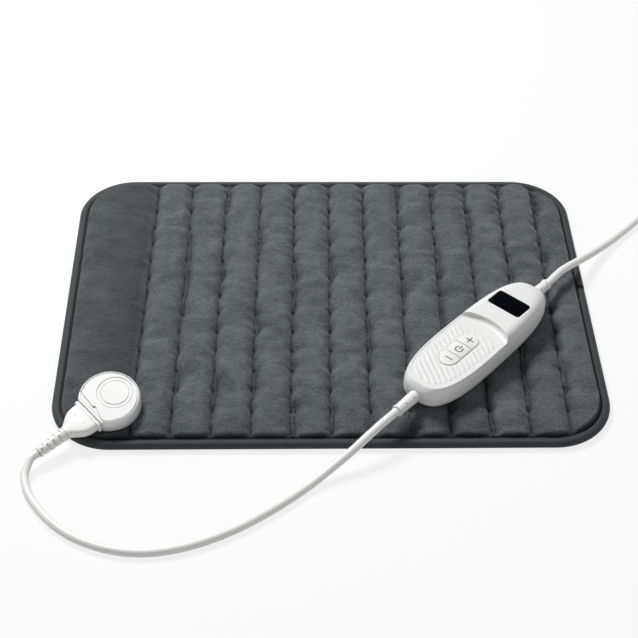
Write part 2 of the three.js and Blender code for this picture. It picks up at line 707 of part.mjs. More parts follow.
// Rounded lid with a line round its plate, a turned ring on top and a lower lip drawn in two sweeps
function socketLid() {
  const low = socketSplit + CLEAR / 2;
  const rise = socketTop - low;
  const heightAt = (inset) => {
    const across = Math.max(0, 1 - inset / LID_ROUND);
    return low + rise * (1 - across ** ROUND_POWER) ** (1 / ROUND_POWER);
  };
  const rings = [];
  const edgeSteps = 4;
  for (let step = 0; step <= edgeSteps; step += 1) {
    const inset = LID_LINE_INSET * (step / edgeSteps) ** 2;
    rings.push(ringAt(socketOutline(inset), heightAt(inset)));
  }
  const lineLow = socketTop - LID_LINE_DEPTH;
  const plate = LID_LINE_INSET + LID_LINE_WIDTH;
  rings.push(ringAt(socketOutline(LID_LINE_INSET), lineLow), ringAt(socketOutline(plate), lineLow));
  rings.push(ringAt(socketOutline(plate), heightAt(plate)), ringAt(socketOutline(LID_ROUND), socketTop));
  const groove = new THREE.LatheGeometry([
    new THREE.Vector2(LID_RING_INNER, socketTop - LID_RING_DEPTH),
    new THREE.Vector2(LID_RING_OUTER, socketTop - LID_RING_DEPTH),
    new THREE.Vector2(LID_RING_OUTER + LID_RING_DEPTH, socketTop + 1),
    new THREE.Vector2(LID_RING_INNER - LID_RING_DEPTH, socketTop + 1),
    new THREE.Vector2(LID_RING_INNER, socketTop - LID_RING_DEPTH),
  ], 28).rotateX(Math.PI / 2);
  const hollow = prism(socketOutline(SOCKET_WALL + LID_RING_DEPTH), low - 1, socketCeiling);
  const lip = [];
  const sweepSteps = 5;
  const half = SOCKET_WIDTH / 2 + 1;
  for (let step = 0; step <= sweepSteps; step += 1) {
    const part = step / sweepSteps;
    lip.push(new THREE.Vector2(LIP_START + 2 * part ** 2, -half * (1 - part)));
  }
  for (let step = 1; step <= sweepSteps; step += 1) {
    const part = step / sweepSteps;
    lip.push(new THREE.Vector2(LIP_START + LIP_SWEEP * Math.sin((Math.PI / 2) * part), half * part));
  }
  lip.push(new THREE.Vector2(SOCKET_FRONT + 4, half), new THREE.Vector2(SOCKET_FRONT + 4, -half));
  const lowered = prism(lip.reverse(), socketTop - LIP_DROP, socketTop + 1);
  return cut(solid(loft(rings)), hollow, solid(groove), lowered, socketMouth());
}

function backingOutline(grow) {
  const outline = roundedOutline(BACKING_LENGTH + 2 * grow, BACKING_WIDTH + 2 * grow, BACKING_CORNER, 3);
  outline.forEach((point) => point.setX(point.x + BACKING_AT));
  return outline;
}

function socketBackingPlate() {
  const sink = SOCKET_SCREW_HEAD_THICK + CLEAR;
  const sinks = socketScrewSides().map((aside) =>
    solid(rod(SOCKET_SCREW_HEAD + 2 * CLEAR, coverLow - 1, coverLow + sink).translate(BACKING_AT, aside, 0)));
  const plate = prism(backingOutline(0), coverLow, pocketTop - CLEAR);
  return cut(plate, ...sinks, ...socketScrewSides().map(socketScrewHole));
}

function socketScrew(aside) {
  const neck = coverLow + SOCKET_SCREW_HEAD_THICK;
  const tip = socketFloor + SOCKET_POST_HEIGHT - SOCKET_WALL - 2 * CLEAR;
  const head = SOCKET_SCREW_HEAD / 2;
  const shank = SOCKET_SCREW_SHANK / 2;
  const profile = [[0, coverLow], [head, coverLow], [head, neck], [shank, neck], [shank, tip], [0, tip]];
  return turned(profile, 12).translate(BACKING_AT, aside, 0);
}

// Pin with a prong towards the plug and a tail down to the heating wire; grow widens it for its hole.
function pinSolid(aside, grow) {
  const prong = alongX(rod(PIN_DIAMETER + 2 * grow, PIN_TAIL_AT - PIN_DIAMETER / 2 - grow, PIN_REACH, 12));
  const tail = rod(PIN_TAIL_DIAMETER + 2 * grow, coverLow + CLEAR - PIN_TAIL_DROP, plugAxis, 12);
  return join(solid(prong.translate(0, aside, plugAxis)), solid(tail.translate(PIN_TAIL_AT, aside, 0)));
}

function socketContactBlock() {
  const half = BLOCK_WIDTH / 2;
  const low = [BLOCK_BACK, -half, socketFloor + CLEAR];
  const high = [BLOCK_BACK + BLOCK_DEPTH - CLEAR, half, socketCeiling - CLEAR];
  return cut(box(low, high), ...socketPins().map(({ aside }) => pinSolid(aside, CLEAR)));
}

function thermalFuse() {
  const behind = BLOCK_BACK - CLEAR - FUSE_LINK_DIAMETER / 2;
  const half = FUSE_LINK_LENGTH / 2;
  const link = alongY(rod(FUSE_LINK_DIAMETER, -half, half, 12));
  return link.translate(behind, 0, socketFloor + CLEAR + FUSE_LINK_DIAMETER / 2);
}

// Pad plug: nose with three sleeves, flange, and a grip drawn in to the neck
function padPlugBody() {
  const noseEnd = SOCKET_FRONT + CLEAR;
  const section = (wide, tall, corner) => {
    const outline = roundedOutline(wide, tall, Math.min(corner, tall / 2 - CLEAR), 3);
    return outline.map((point) => new THREE.Vector2(point.x, point.y + plugAxis));
  };
  const slab = (wide, tall, corner, from, to) =>
    solid(loft([ringAcross(section(wide, tall, corner), from), ringAcross(section(wide, tall, corner), to)]));
  const nose = slab(NOSE_WIDTH, NOSE_HEIGHT, NOSE_CORNER, noseEnd - NOSE_REACH, noseEnd + CLEAR);
  const flange = slab(FLANGE_WIDTH, FLANGE_HEIGHT, FLANGE_CORNER, noseEnd, noseEnd + FLANGE_THICK);
  const gripStart = noseEnd + FLANGE_THICK - CLEAR;
  const gripSteps = 7;
  const rings = [];
  for (let step = 0; step <= gripSteps; step += 1) {
    const part = step / gripSteps;
    const drawn = (1 + Math.cos(Math.PI * part ** GRIP_SHOULDER)) / 2;
    const wide = PLUG_BOOT_ROOT + (GRIP_WIDTH - PLUG_BOOT_ROOT) * drawn;
    rings.push(ringAcross(section(wide, GRIP_HEIGHT, GRIP_CORNER), gripStart + (GRIP_LENGTH + CLEAR) * part));
  }
  const dimples = [-GRIP_DIMPLE_SPACING, GRIP_DIMPLE_SPACING].map((aside) => {
    const ball = new THREE.SphereGeometry(GRIP_DIMPLE * 1.5, 10, 6);
    const height = plugAxis + GRIP_HEIGHT / 2 + GRIP_DIMPLE / 2;
    return solid(ball.translate(gripStart + GRIP_LENGTH / 4, aside, height));
  });
  const bore = PIN_DIAMETER + 2 * SLEEVE_WALL + 4 * CLEAR;
  const noseTip = noseEnd - NOSE_REACH;
  const bores = socketPins().map(({ aside }) => {
    const hole = alongX(rod(bore, noseTip - 1, noseTip + SLEEVE_LENGTH + 2 * CLEAR, 12));
    return solid(hole.translate(0, aside, plugAxis));
  });
  return cut(join(nose, flange, solid(loft(rings))), ...dimples, ...bores);
}

function plugContact(aside) {
  const inner = PIN_DIAMETER / 2 + CLEAR;
  const outer = inner + SLEEVE_WALL;
  const start = SOCKET_FRONT + CLEAR - NOSE_REACH + CLEAR;
  const end = start + SLEEVE_LENGTH;
  const profile = [[inner, start], [outer, start], [outer, end], [inner, end], [inner, start]];
  return alongX(turned(profile, 12)).translate(0, aside, plugAxis);
}

// Ribbed strain relief: slots from alternate sides leave a spine along the middle
function padPlugBoot() {
  const start = SOCKET_FRONT + 2 * CLEAR + FLANGE_THICK + GRIP_LENGTH;
  const end = start + PLUG_BOOT_LENGTH;
  const [root, tip] = [PLUG_BOOT_ROOT / 2, PLUG_BOOT_TIP / 2];
  const cone = alongX(turned([[0, start], [root, start], [tip, end], [0, end]], 16)).translate(0, 0, plugAxis);
  const pitch = (PLUG_BOOT_LENGTH - 2 * PLUG_BOOT_SLOT) / PLUG_BOOT_SLOTS;
  const core = CORD_DIAMETER / 2 - CLEAR;
  const sleeve = solid(alongX(rod(2 * core, start - 1, end + 1, 12)).translate(0, 0, plugAxis));
  const slots = [];
  for (let slot = 0; slot < PLUG_BOOT_SLOTS; slot += 1) {
    const from = start + PLUG_BOOT_SLOT + (slot + 0.5) * pitch - PLUG_BOOT_SLOT / 2;
    const side = slot % 2 ? 1 : -1;
    const near = side > 0 ? PLUG_BOOT_SPINE / 2 : -PLUG_BOOT_ROOT;
    const far = side > 0 ? PLUG_BOOT_ROOT : -PLUG_BOOT_SPINE / 2;
    const [low, high] = [plugAxis - PLUG_BOOT_ROOT, plugAxis + PLUG_BOOT_ROOT];
    const blade = box([from, near, low], [from + PLUG_BOOT_SLOT, far, high]);
    slots.push(blade.subtract(sleeve));
  }
  return cut(solid(cone), ...slots);
}

// Plan of the controller's case, drawn in faster at its ends than at its sides
function caseOutline(inset, endInset = inset) {
  const points = [];
  for (let step = 0; step < CASE_STEPS; step += 1) {
    const angle = (step / CASE_STEPS) * 2 * Math.PI;
    const [c, s] = [Math.cos(angle), Math.sin(angle)];
    const x = Math.sign(c) * Math.abs(c) ** (2 / CASE_POWER);
    const y = Math.sign(s) * Math.abs(s) ** (2 / CASE_POWER);
    const half = CASE_WIDTH / 2 - CASE_TAPER * x - inset;
    points.push(new THREE.Vector2(CASE_MIDDLE + x * (CASE_LENGTH / 2 - endInset), y * half));
  }
  return points;
}

// Rounded half of the case from the split to the crown; wall is how far its skin lies inside the outer one.
function caseHalf(split, crown, round, wall, levels) {
  const rings = [];
  for (let level = 0; level <= levels; level += 1) {
    const angle = (Math.PI / 2) * (level / levels);
    const drawn = round * (1 - Math.cos(angle) ** (2 / ROUND_POWER));
    const z = split + (crown - split) * Math.sin(angle) ** (2 / ROUND_POWER);
    rings.push(ringAt(caseOutline(wall + drawn, wall + END_DRAW * drawn), z));
  }
  return solid(loft(crown > split ? rings : rings.reverse()));
}

// Space above the key face, up to the bowed step; grow moves its skin into the case.
function scoop(grow) {
  const face = KEY_FACE - grow;
  const sky = CASE_HEIGHT + 2;
  const side = CASE_WIDTH;
  const front = CASE_MIDDLE - CASE_LENGTH;
  const bowSteps = 10;
  const plan = (setBack) => {
    const points = [new THREE.Vector2(front, side / 2 + 1), new THREE.Vector2(front, -side / 2 - 1)];
    for (let step = 0; step <= bowSteps; step += 1) {
      const across = (2 * step) / bowSteps - 1;
      const bow = STEP_BOW * (1 - across ** 2);
      points.push(new THREE.Vector2(stepAt + bow + grow - setBack, across * (side / 2 + 1)));
    }
    return points;
  };
  const rings = [];
  const filletSteps = 4;
  for (let step = 0; step <= filletSteps; step += 1) {
    const angle = (Math.PI / 2) * (step / filletSteps);
    const setBack = STEP_FILLET * (1 - Math.sin(angle));
    rings.push(ringAt(plan(setBack), face + STEP_FILLET * (1 - Math.cos(angle))));
  }
  rings.push(ringAt(plan(0), sky));
  return solid(loft(rings));
}

// Low rim that stays round the key face when the scoop is cut
function keyRim() {
  const part = (KEY_FACE - CASE_SPLIT) / (CASE_HEIGHT - CASE_SPLIT);
  const drawn = TOP_ROUND * (1 - (1 - part ** ROUND_POWER) ** (1 / ROUND_POWER));
  const inside = caseOutline(drawn + KEY_RIM, END_DRAW * drawn + KEY_RIM);
  const band = prism(caseOutline(-KEY_RIM), KEY_FACE - 1, KEY_FACE + KEY_RIM_RISE);
  return band.subtract(prism(inside, 0, CASE_HEIGHT));
}

// Outline of one key; grow widens it away from its neighbours.
function keyOutline(place, grow) {
  const radius = KEY_WIDTH / 2 + grow;
  const inner = POWER_KEY_LENGTH / 2;
  if (place === 0) {
    const corners = [[-inner, -radius], [inner, -radius], [inner, radius], [-inner, radius]];
    return corners.map(([x, y]) => new THREE.Vector2(x, y));
  }
  const centre = KEY_ROW / 2 - KEY_WIDTH / 2;
  const near = inner + KEY_GAP + Math.max(0, -grow);
  const points = [new THREE.Vector2(near, -radius)];
  const arcSteps = 10;
  for (let step = 0; step <= arcSteps; step += 1) {
    const angle = Math.PI * (step / arcSteps - 0.5);
    points.push(new THREE.Vector2(centre + radius * Math.cos(angle), radius * Math.sin(angle)));
  }
  points.push(new THREE.Vector2(near, radius));
  if (place > 0) return points;
  return points.map((point) => new THREE.Vector2(-point.x, -point.y));
}

// Middle of a key, where its switch stands
const keyMiddle = (place) => place * (POWER_KEY_LENGTH / 2 + KEY_GAP + KEY_ROW / 2) / 2;

function keyRowOpening() {
  const outline = roundedOutline(KEY_ROW + 2 * CLEAR, KEY_WIDTH + 2 * CLEAR, KEY_WIDTH / 2 + CLEAR, 8);
  return prism(outline, KEY_FACE - CASE_WALL - 1, KEY_FACE + KEY_RAISE + 1);
}

const keyFlangeTop = KEY_FACE - CASE_WALL - CLEAR;
const keyFlangeLow = keyFlangeTop - KEY_FLANGE_THICK;
const plungerTop = keyFlangeLow - CLEAR;
const plungerLow = plungerTop - PLUNGER_LENGTH;
const switchTop = keyFlangeLow - KEY_TRAVEL - 2 * CLEAR;
const switchLow = switchTop - SWITCH_HEIGHT;
const boardTop = switchLow - CLEAR;
const boardLow = boardTop - BOARD_THICK;

function key(place) {
  const top = KEY_FACE + KEY_RAISE;
  const cap = solid(loft([
    ringAt(keyOutline(place, 0), keyFlangeLow),
    ringAt(keyOutline(place, 0), top - KEY_EDGE),
    ringAt(keyOutline(place, -KEY_EDGE), top),
  ]));
  return join(cap, prism(keyOutline(place, KEY_FLANGE), keyFlangeLow, keyFlangeTop));
}

function keySwitch(place) {
  const half = SWITCH_SIZE / 2;
  const body = box([keyMiddle(place) - half, -half, switchLow], [keyMiddle(place) + half, half, switchTop]);
  const floor = plungerLow - KEY_TRAVEL - CLEAR;
  const well = rod(PLUNGER_DIAMETER + 2 * CLEAR, floor, switchTop + 1);
  return body.subtract(solid(well.translate(keyMiddle(place), 0, 0)));
}

const plunger = (place) => rod(PLUNGER_DIAMETER, plungerLow, plungerTop).translate(keyMiddle(place), 0, 0);

// Ribs that run slantwise over the key face, clear of the keys and the rim
function keyFaceRibs() {
  const field = caseOutline(RIB_MARGIN + TOP_ROUND / 4, END_DRAW * RIB_MARGIN);
  const region = cut(
    prism(field, KEY_FACE - CLEAR, KEY_FACE + RIB_HEIGHT),
    prism(roundedOutline(KEY_ROW + 2, KEY_WIDTH + 2, KEY_WIDTH / 2 + 1, 8), 0, CASE_HEIGHT),
    box([ribEnd, -CASE_WIDTH, 0], [CASE_LENGTH, CASE_WIDTH, CASE_HEIGHT]),
  );
  const reach = CASE_WIDTH;
  const turn = new THREE.Matrix4().makeRotationZ(radians(RIB_ANGLE));
  const spacing = RIB_PITCH / Math.sin(radians(RIB_ANGLE));
  const ribs = [];
  for (let x = caseFront; x < ribEnd + CASE_WIDTH / 2; x += spacing) {
    const ridge = loft([
      [[-RIB_WIDTH / 2, KEY_FACE - CLEAR], [RIB_WIDTH / 2, KEY_FACE - CLEAR], [0, KEY_FACE + RIB_HEIGHT]],
    ].flatMap((section) => [-reach, reach].map((end) =>
      section.map(([aside, z]) => new THREE.Vector3(end, aside, z)))));
    ribs.push(solid(ridge.applyMatrix4(turn).translate(x, 0, 0)).intersect(region));
  }
  return ribs.filter((rib) => !rib.isEmpty());
}

// Half width of the case at its split, at a place along it
function caseHalfWidth(x) {
  const along = (x - CASE_MIDDLE) / (CASE_LENGTH / 2);
  const plan = (1 - Math.abs(along) ** CASE_POWER) ** (1 / CASE_POWER);
  return (CASE_WIDTH / 2 - CASE_TAPER * along) * plan;
}

// Places of the case screws, a pair near each end
function caseScrews() {
  const places = [caseFront + FRONT_SCREW_FROM_END, caseRear - REAR_SCREW_FROM_END];
  return places.flatMap((x) => {
    const aside = caseHalfWidth(x) - SCREW_FROM_SIDE;
    return [[x, -aside], [x, aside]];
  });
}

const screwSeat = CASE_SCREW_SINK + CASE_SCREW_HEAD_THICK;

// Space round a case screw, from under the case to past its tip
function caseScrewHole([x, y]) {
  const shank = CASE_SCREW_SHANK / 2 + CLEAR;
  const head = CASE_SCREW_HEAD / 2 + CLEAR;
  const seat = screwSeat + CLEAR;
  const tip = screwSeat + CASE_SCREW_LENGTH + CLEAR;
  const profile = [[0, -1], [head, -1], [head, seat], [shank, seat], [shank, tip], [0, tip]];
  return solid(turned(profile, 12).translate(x, y, 0));
}

// Passage through both ends of the case for the strain reliefs, with a well for their inner flanges
function bootPassages() {
  const flange = CASE_LENGTH / 2 - CASE_WALL - BOOT_NECK - BOOT_FLANGE_THICK;
  const [wide, neck] = [BOOT_FLANGE / 2 + CLEAR, BOOT_DIAMETER / 2 + CLEAR];
  const [near, far] = [flange - CLEAR, flange + BOOT_FLANGE_THICK + CLEAR];
  const profile = [[0, near], [wide, near], [wide, far], [neck, far], [neck, CASE_LENGTH], [0, CASE_LENGTH]];
  const passage = alongX(turned(profile, BOOT_SIDES));
  const ends = [passage.clone().rotateZ(Math.PI), passage];
  return ends.map((end) => solid(end.translate(CASE_MIDDLE, 0, CASE_SPLIT)));
}

// Window opening with a rebate for the window's flange on the inside
function screenOpening() {
  const frame = (grow) => {
    const [length, width] = [SCREEN_LENGTH + 2 * grow, SCREEN_WIDTH + 2 * grow];
    return roundedOutline(length, width, SCREEN_CORNER + CLEAR, 4);
  };
  const under = CASE_HEIGHT - CASE_WALL;
  const pane = prism(frame(CLEAR), under - 1, CASE_HEIGHT + 1);
  const rebate = prism(frame(SCREEN_FLANGE + CLEAR), under - SCREEN_FLANGE_THICK - 2 * CLEAR, under);
  return join(pane, rebate).translate([screenAt, 0, 0]);
}

function controllerTopShell() {
  const split = CASE_SPLIT + CLEAR / 2;
  const outer = caseHalf(split, CASE_HEIGHT, TOP_ROUND, 0, 7).subtract(scoop(0).subtract(keyRim()));
  const within = (wall) => caseHalf(split - 1, CASE_HEIGHT - wall, TOP_ROUND, wall, 5).subtract(scoop(wall));
  const room = within(CASE_WALL);
  const posts = caseScrews().map(([x, y]) => {
    const post = rod(CASE_POST, boardTop + CLEAR, CASE_HEIGHT).translate(x, y, 0);
    return solid(post).intersect(within(CASE_WALL / 2));
  });
  const shell = join(cut(outer, room), ...posts, ...keyFaceRibs());
  return cut(shell, keyRowOpening(), screenOpening(), ...bootPassages(), ...caseScrews().map(caseScrewHole));
}

function controllerBottomShell() {
  const split = CASE_SPLIT - CLEAR / 2;
  const outer = caseHalf(split, 0, BOTTOM_ROUND, 0, 5);
  const room = caseHalf(split + 1, CASE_WALL, BOTTOM_ROUND, CASE_WALL, 4);
  const posts = caseScrews().map(([x, y]) =>
    solid(rod(CASE_POST, CASE_WALL / 2, boardLow - CLEAR).translate(x, y, 0)));
  return cut(join(cut(outer, room), ...posts), ...bootPassages(), ...caseScrews().map(caseScrewHole));
}

function caseScrew([x, y]) {
  const head = CASE_SCREW_HEAD / 2;
  const shank = CASE_SCREW_SHANK / 2;
  const tip = screwSeat + CASE_SCREW_LENGTH;
  const profile = [[0, CASE_SCREW_SINK], [head, CASE_SCREW_SINK], [head, screwSeat], [shank, screwSeat]];
  const screw = solid(turned([...profile, [shank, tip - shank], [0, tip]], 12));
  const blade = CASE_SCREW_HEAD / 2 - CASE_SCREW_HEAD / 8;
  const slit = CASE_SCREW_HEAD / 12;
  const depth = CASE_SCREW_SINK + CASE_SCREW_HEAD_THICK / 2;
  const arms = [[blade, slit], [slit, blade]].map(([long, wide]) =>
    box([-long, -wide, 0], [long, wide, depth]));
  return cut(screw, ...arms).translate([x, y, 0]);
}

function circuitBoard() {
  const endInset = CASE_WALL + BOOT_NECK + BOOT_FLANGE_THICK + 2 * CLEAR;
  const board = prism(caseOutline(BOARD_INSET, endInset), boardLow, boardTop);
  return cut(board, ...caseScrews().map(caseScrewHole));
}

function displayWindow() {
  const flangeTop = CASE_HEIGHT - CASE_WALL - CLEAR;
  const pane = roundedOutline(SCREEN_LENGTH, SCREEN_WIDTH, SCREEN_CORNER, 4);
  const wide = 2 * SCREEN_FLANGE;
  const flange = roundedOutline(SCREEN_LENGTH + wide, SCREEN_WIDTH + wide, SCREEN_CORNER, 4);
  const body = join(
    prism(pane, flangeTop - SCREEN_FLANGE_THICK, CASE_HEIGHT),
    prism(flange, flangeTop - SCREEN_FLANGE_THICK, flangeTop),
  );
  return body.translate([screenAt, 0, 0]);
}

function displayModule() {
  const top = CASE_HEIGHT - CASE_WALL - SCREEN_FLANGE_THICK - 2 * CLEAR;
  const [halfX, halfY] = [SCREEN_LENGTH / 2, SCREEN_WIDTH / 2 - SCREEN_FLANGE];
  return box([screenAt - halfX, -halfY, boardTop + CLEAR], [screenAt + halfX, halfY, top]);
}

// Rectangular component standing on the board
function onBoard(fromEnd, [length, width, height]) {
  const outline = roundedOutline(length, width, 0.8, 2);
  return prism(outline, boardTop + CLEAR, boardTop + CLEAR + height).translate([caseRear - fromEnd, 0, 0]);
}

// Capacitor between the posts of the rear screws
function filmCapacitor() {
  const [, post] = caseScrews().at(-1);
  const width = 2 * (post - CASE_POST / 2 - CAPACITOR_FROM_POST);
  return onBoard(CAPACITOR_FROM_END, [CAPACITOR_LENGTH, width, CAPACITOR_HEIGHT]);
}

function mainsFuse() {
  const half = FUSE_LENGTH / 2;
  const cap = FUSE_LENGTH / 4;
  const [end, tube] = [FUSE_DIAMETER / 2, FUSE_DIAMETER / 2 - 0.2];
  const profile = [
    [0, -half], [end, -half], [end, -cap], [tube, -cap],
    [tube, cap], [end, cap], [end, half], [0, half],
  ];
  return alongY(turned(profile, 14)).translate(caseRear - FUSE_FROM_END, 0, boardTop + CLEAR + end);
}

// Strain relief of the controller: flange inside the wall, tapered sleeve and end collar outside
function controllerBoot(length) {
  const wallEnd = CASE_LENGTH / 2;
  const inner = wallEnd - CASE_WALL - BOOT_NECK;
  const flange = inner - BOOT_FLANGE_THICK;
  const tip = wallEnd + length;
  const [wide, neck, end, collar] = [BOOT_FLANGE / 2, BOOT_DIAMETER / 2, BOOT_TIP / 2, BOOT_COLLAR / 2];
  const round = 0.6;
  const profile = [
    [0, flange], [wide, flange], [wide, inner], [neck, inner], [neck, wallEnd + BOOT_NECK],
    [end, tip - BOOT_COLLAR_LENGTH], [collar, tip - BOOT_COLLAR_LENGTH + round],
    [collar, tip - round], [collar - round, tip], [0, tip],
  ];
  const sleeve = solid(alongX(turned(profile, BOOT_SIDES)));
  const holes = [];
  const last = tip - BOOT_COLLAR_LENGTH - BOOT_HOLE;
  for (let at = wallEnd + BOOT_HOLE_FROM_CASE; at < last; at += BOOT_HOLE_SPACING) {
    for (const turn of [-BOOT_HOLE_TURN, BOOT_HOLE_TURN]) {
      const hole = rod(BOOT_HOLE, neck - BOOT_HOLE_DEPTH, neck + 1, 8).rotateX(radians(turn));
      holes.push(solid(hole.translate(at, 0, 0)));
    }
  }
  return cut(sleeve, ...holes);
}

const frontBoot = () =>
  controllerBoot(FRONT_BOOT_LENGTH).rotate([0, 0, 180]).translate([CASE_MIDDLE, 0, CASE_SPLIT]);
const rearBoot = () => controllerBoot(REAR_BOOT_LENGTH).translate([CASE_MIDDLE, 0, CASE_SPLIT]);

// Place in the room of a point in the controller's own frame
function controllerPoint(ahead) {
  const turn = radians(CONTROLLER_TURN);
  const x = controllerX + ahead * Math.cos(turn);
  return new THREE.Vector3(x, controllerY + ahead * Math.sin(turn), controllerLow + CASE_SPLIT);
}

const frontTip = caseFront - FRONT_BOOT_LENGTH;
const rearTip = caseRear + REAR_BOOT_LENGTH;
const plugTip = SOCKET_FRONT + 2 * CLEAR + FLANGE_THICK + GRIP_LENGTH + PLUG_BOOT_LENGTH;
const route = (points) => points.map((point) => new THREE.Vector3(...point));

// Cord from the pad plug, down to the floor, along it in a loose bow and up over the pad's edge
function padCord() {
  const exit = (ahead) => socketPoint(plugTip + ahead, 0, plugAxis);
  const onFloor = route([
    [-210, -169.3, 6.6], [-211, -175.2, 5.3], [-209.9, -182.2, 4.2], [-207, -190.4, 3.4],
    [-202.4, -198.2, 3], [-195.7, -207.5, 3], [-186.3, -217.8, 3], [-173.9, -227.4, 3], [-159.5, -234.6, 3],
    [-144.2, -239.2, 3], [-128.6, -240.9, 3], [-112.4, -239.4, 3], [-96.4, -235.3, 3], [-80.3, -228.8, 3],
    [-64, -220.1, 3], [-47.6, -209, 3], [-30.8, -196, 3], [-20.6, -187.3, 3.2], [-10.3, -178.7, 4.8],
    [0.1, -170.7, 8.1], [10.5, -163.4, 12.6], [21, -154.8, 17.1], [31.7, -145.1, 20.4],
  ]);
  const points = [exit(CLEAR), exit(CORD_DIAMETER), ...onFloor];
  points.push(controllerPoint(frontTip - CORD_DIAMETER), controllerPoint(frontTip - CLEAR));
  return cord(points, PAD_CORD_STEPS);
}

// Coil of the mains lead: in on the lower layer, a climb where it turns back, and out on the upper layer
const coilLow = TIE_THICK + CLEAR + CORD_DIAMETER / 2;
const coilMiddleTurn = COIL_TURNS_IN + 0.25;
const coilTurns = 2 * coilMiddleTurn;

function coilPoint(turn) {
  const angle = radians(COIL_ENTRY) - 2 * Math.PI * turn;
  const radius = COIL_INNER + COIL_PITCH * (Math.abs(turn - coilMiddleTurn) - 0.25);
  const climb = THREE.MathUtils.smoothstep(turn, COIL_TURNS_IN, COIL_TURNS_IN + 0.5);
  return new THREE.Vector3(
    COIL_X + radius * Math.cos(angle), COIL_Y + radius * Math.sin(angle), coilLow + COIL_PITCH * climb);
}

function coilDirection(turn) {
  const angle = radians(COIL_ENTRY) - 2 * Math.PI * turn;
  return new THREE.Vector3(Math.sin(angle), -Math.cos(angle), 0);
}

const coilStart = coilPoint(0).addScaledVector(coilDirection(0), -CORD_DIAMETER);
const coilEnd = coilPoint(coilTurns).addScaledVector(coilDirection(coilTurns), CORD_DIAMETER);

function coilPath() {
  const points = [coilStart];
  const steps = Math.round(coilTurns * COIL_LOOP_STEPS);
  for (let step = 0; step <= steps; step += 1) points.push(coilPoint((coilTurns * step) / steps));
  return [...points, coilEnd];
}

// Least gap between loops of the coil, on points along its middle line that lie a half loop or more apart
function leastCoilGap() {
  const samples = [];
  const count = coilTurns * COIL_LOOP_STEPS * 4;
  for (let step = 0; step <= count; step += 1) samples.push(coilPoint((coilTurns * step) / count));
  const apart = COIL_LOOP_STEPS * 2;
  let least = Infinity;
  for (let a = 0; a < samples.length; a += 1) {
    for (let b = a + apart; b < samples.length; b += 1) {
      least = Math.min(least, samples[a].distanceTo(samples[b]));
    }
  }
  return least - CORD_DIAMETER;
}

const mainsCoil = () => laidTube(coilPath(), CORD_DIAMETER, COIL_SIDES);

// Mains cord from the controller, over the pad's edge and along the floor to the coil
function mainsRun() {
  const between = route([
    [179.6, 16.2, 20.7], [188.6, 26.3, 18.1], [197.9, 36.8, 14.1], [207.2, 47.7, 10], [216.5, 58.1, 6.8],
    [225.7, 68.2, 4.6], [234.8, 77.8, 3.4], [244.8, 88.3, 3], [256, 100.4, 3], [266, 112.8, 3],
  ]);
  const approach = coilDirection(0);
  const points = [controllerPoint(rearTip + CLEAR), controllerPoint(rearTip + CORD_DIAMETER), ...between];
  points.push(coilStart.clone().addScaledVector(approach, -CORD_DIAMETER));
  points.push(coilStart.clone().addScaledVector(approach, -CLEAR));
  return cord(points, RUN_STEPS);
}

const mainsPlugAxis = MAINS_BODY_HEIGHT / 2;
const tailDirection = coilDirection(coilTurns);
const tailEnd = coilEnd.clone().addScaledVector(tailDirection, TAIL_LENGTH).setZ(mainsPlugAxis);

function mainsTail() {
  const along = (part, lift) => {
    const point = coilEnd.clone().lerp(tailEnd, part);
    return point.setZ(tailEnd.z + (coilEnd.z - tailEnd.z) * lift);
  };
  const points = [coilEnd.clone().addScaledVector(tailDirection, CLEAR)];
  points.push(along(0.15, 1), along(0.38, 0.7), along(0.62, 0.3), along(0.85, 0));
  points.push(tailEnd.clone().addScaledVector(tailDirection, -CLEAR));
  return cord(points, TAIL_STEPS);
}

// Flat strap round the coil, standing in a plane through the coil's middle
function coilTie() {
  const outside = COIL_INNER + COIL_PITCH * COIL_TURNS_IN + CORD_DIAMETER / 2 + CLEAR;
  const closest = COIL_INNER - COIL_PITCH / 4 - CORD_DIAMETER / 2 - CLEAR;
  const inside = Math.sqrt(closest ** 2 - (TIE_WIDTH / 2) ** 2) - CLEAR;
  const low = TIE_THICK;
  const high = coilLow + COIL_PITCH + CORD_DIAMETER / 2 + CLEAR;
  const ring = (grow) => {
    const [across, tall] = [outside - inside + 2 * grow, high - low + 2 * grow];
    return roundedOutline(across, tall, TIE_CORNER + grow, 3);
  };
  const middle = new THREE.Vector2((inside + outside) / 2, (low + high) / 2);
  const shape = new THREE.Shape(ring(TIE_THICK).map((point) => point.add(middle)));
  shape.holes.push(new THREE.Path(ring(0).map((point) => point.add(middle))));
  const strap = new THREE.ExtrudeGeometry(shape, { depth: TIE_WIDTH, bevelEnabled: false });
  strap.translate(0, 0, -TIE_WIDTH / 2).rotateX(Math.PI / 2);
  return strap.rotateZ(radians(TIE_AT)).translate(COIL_X, COIL_Y, 0);
}

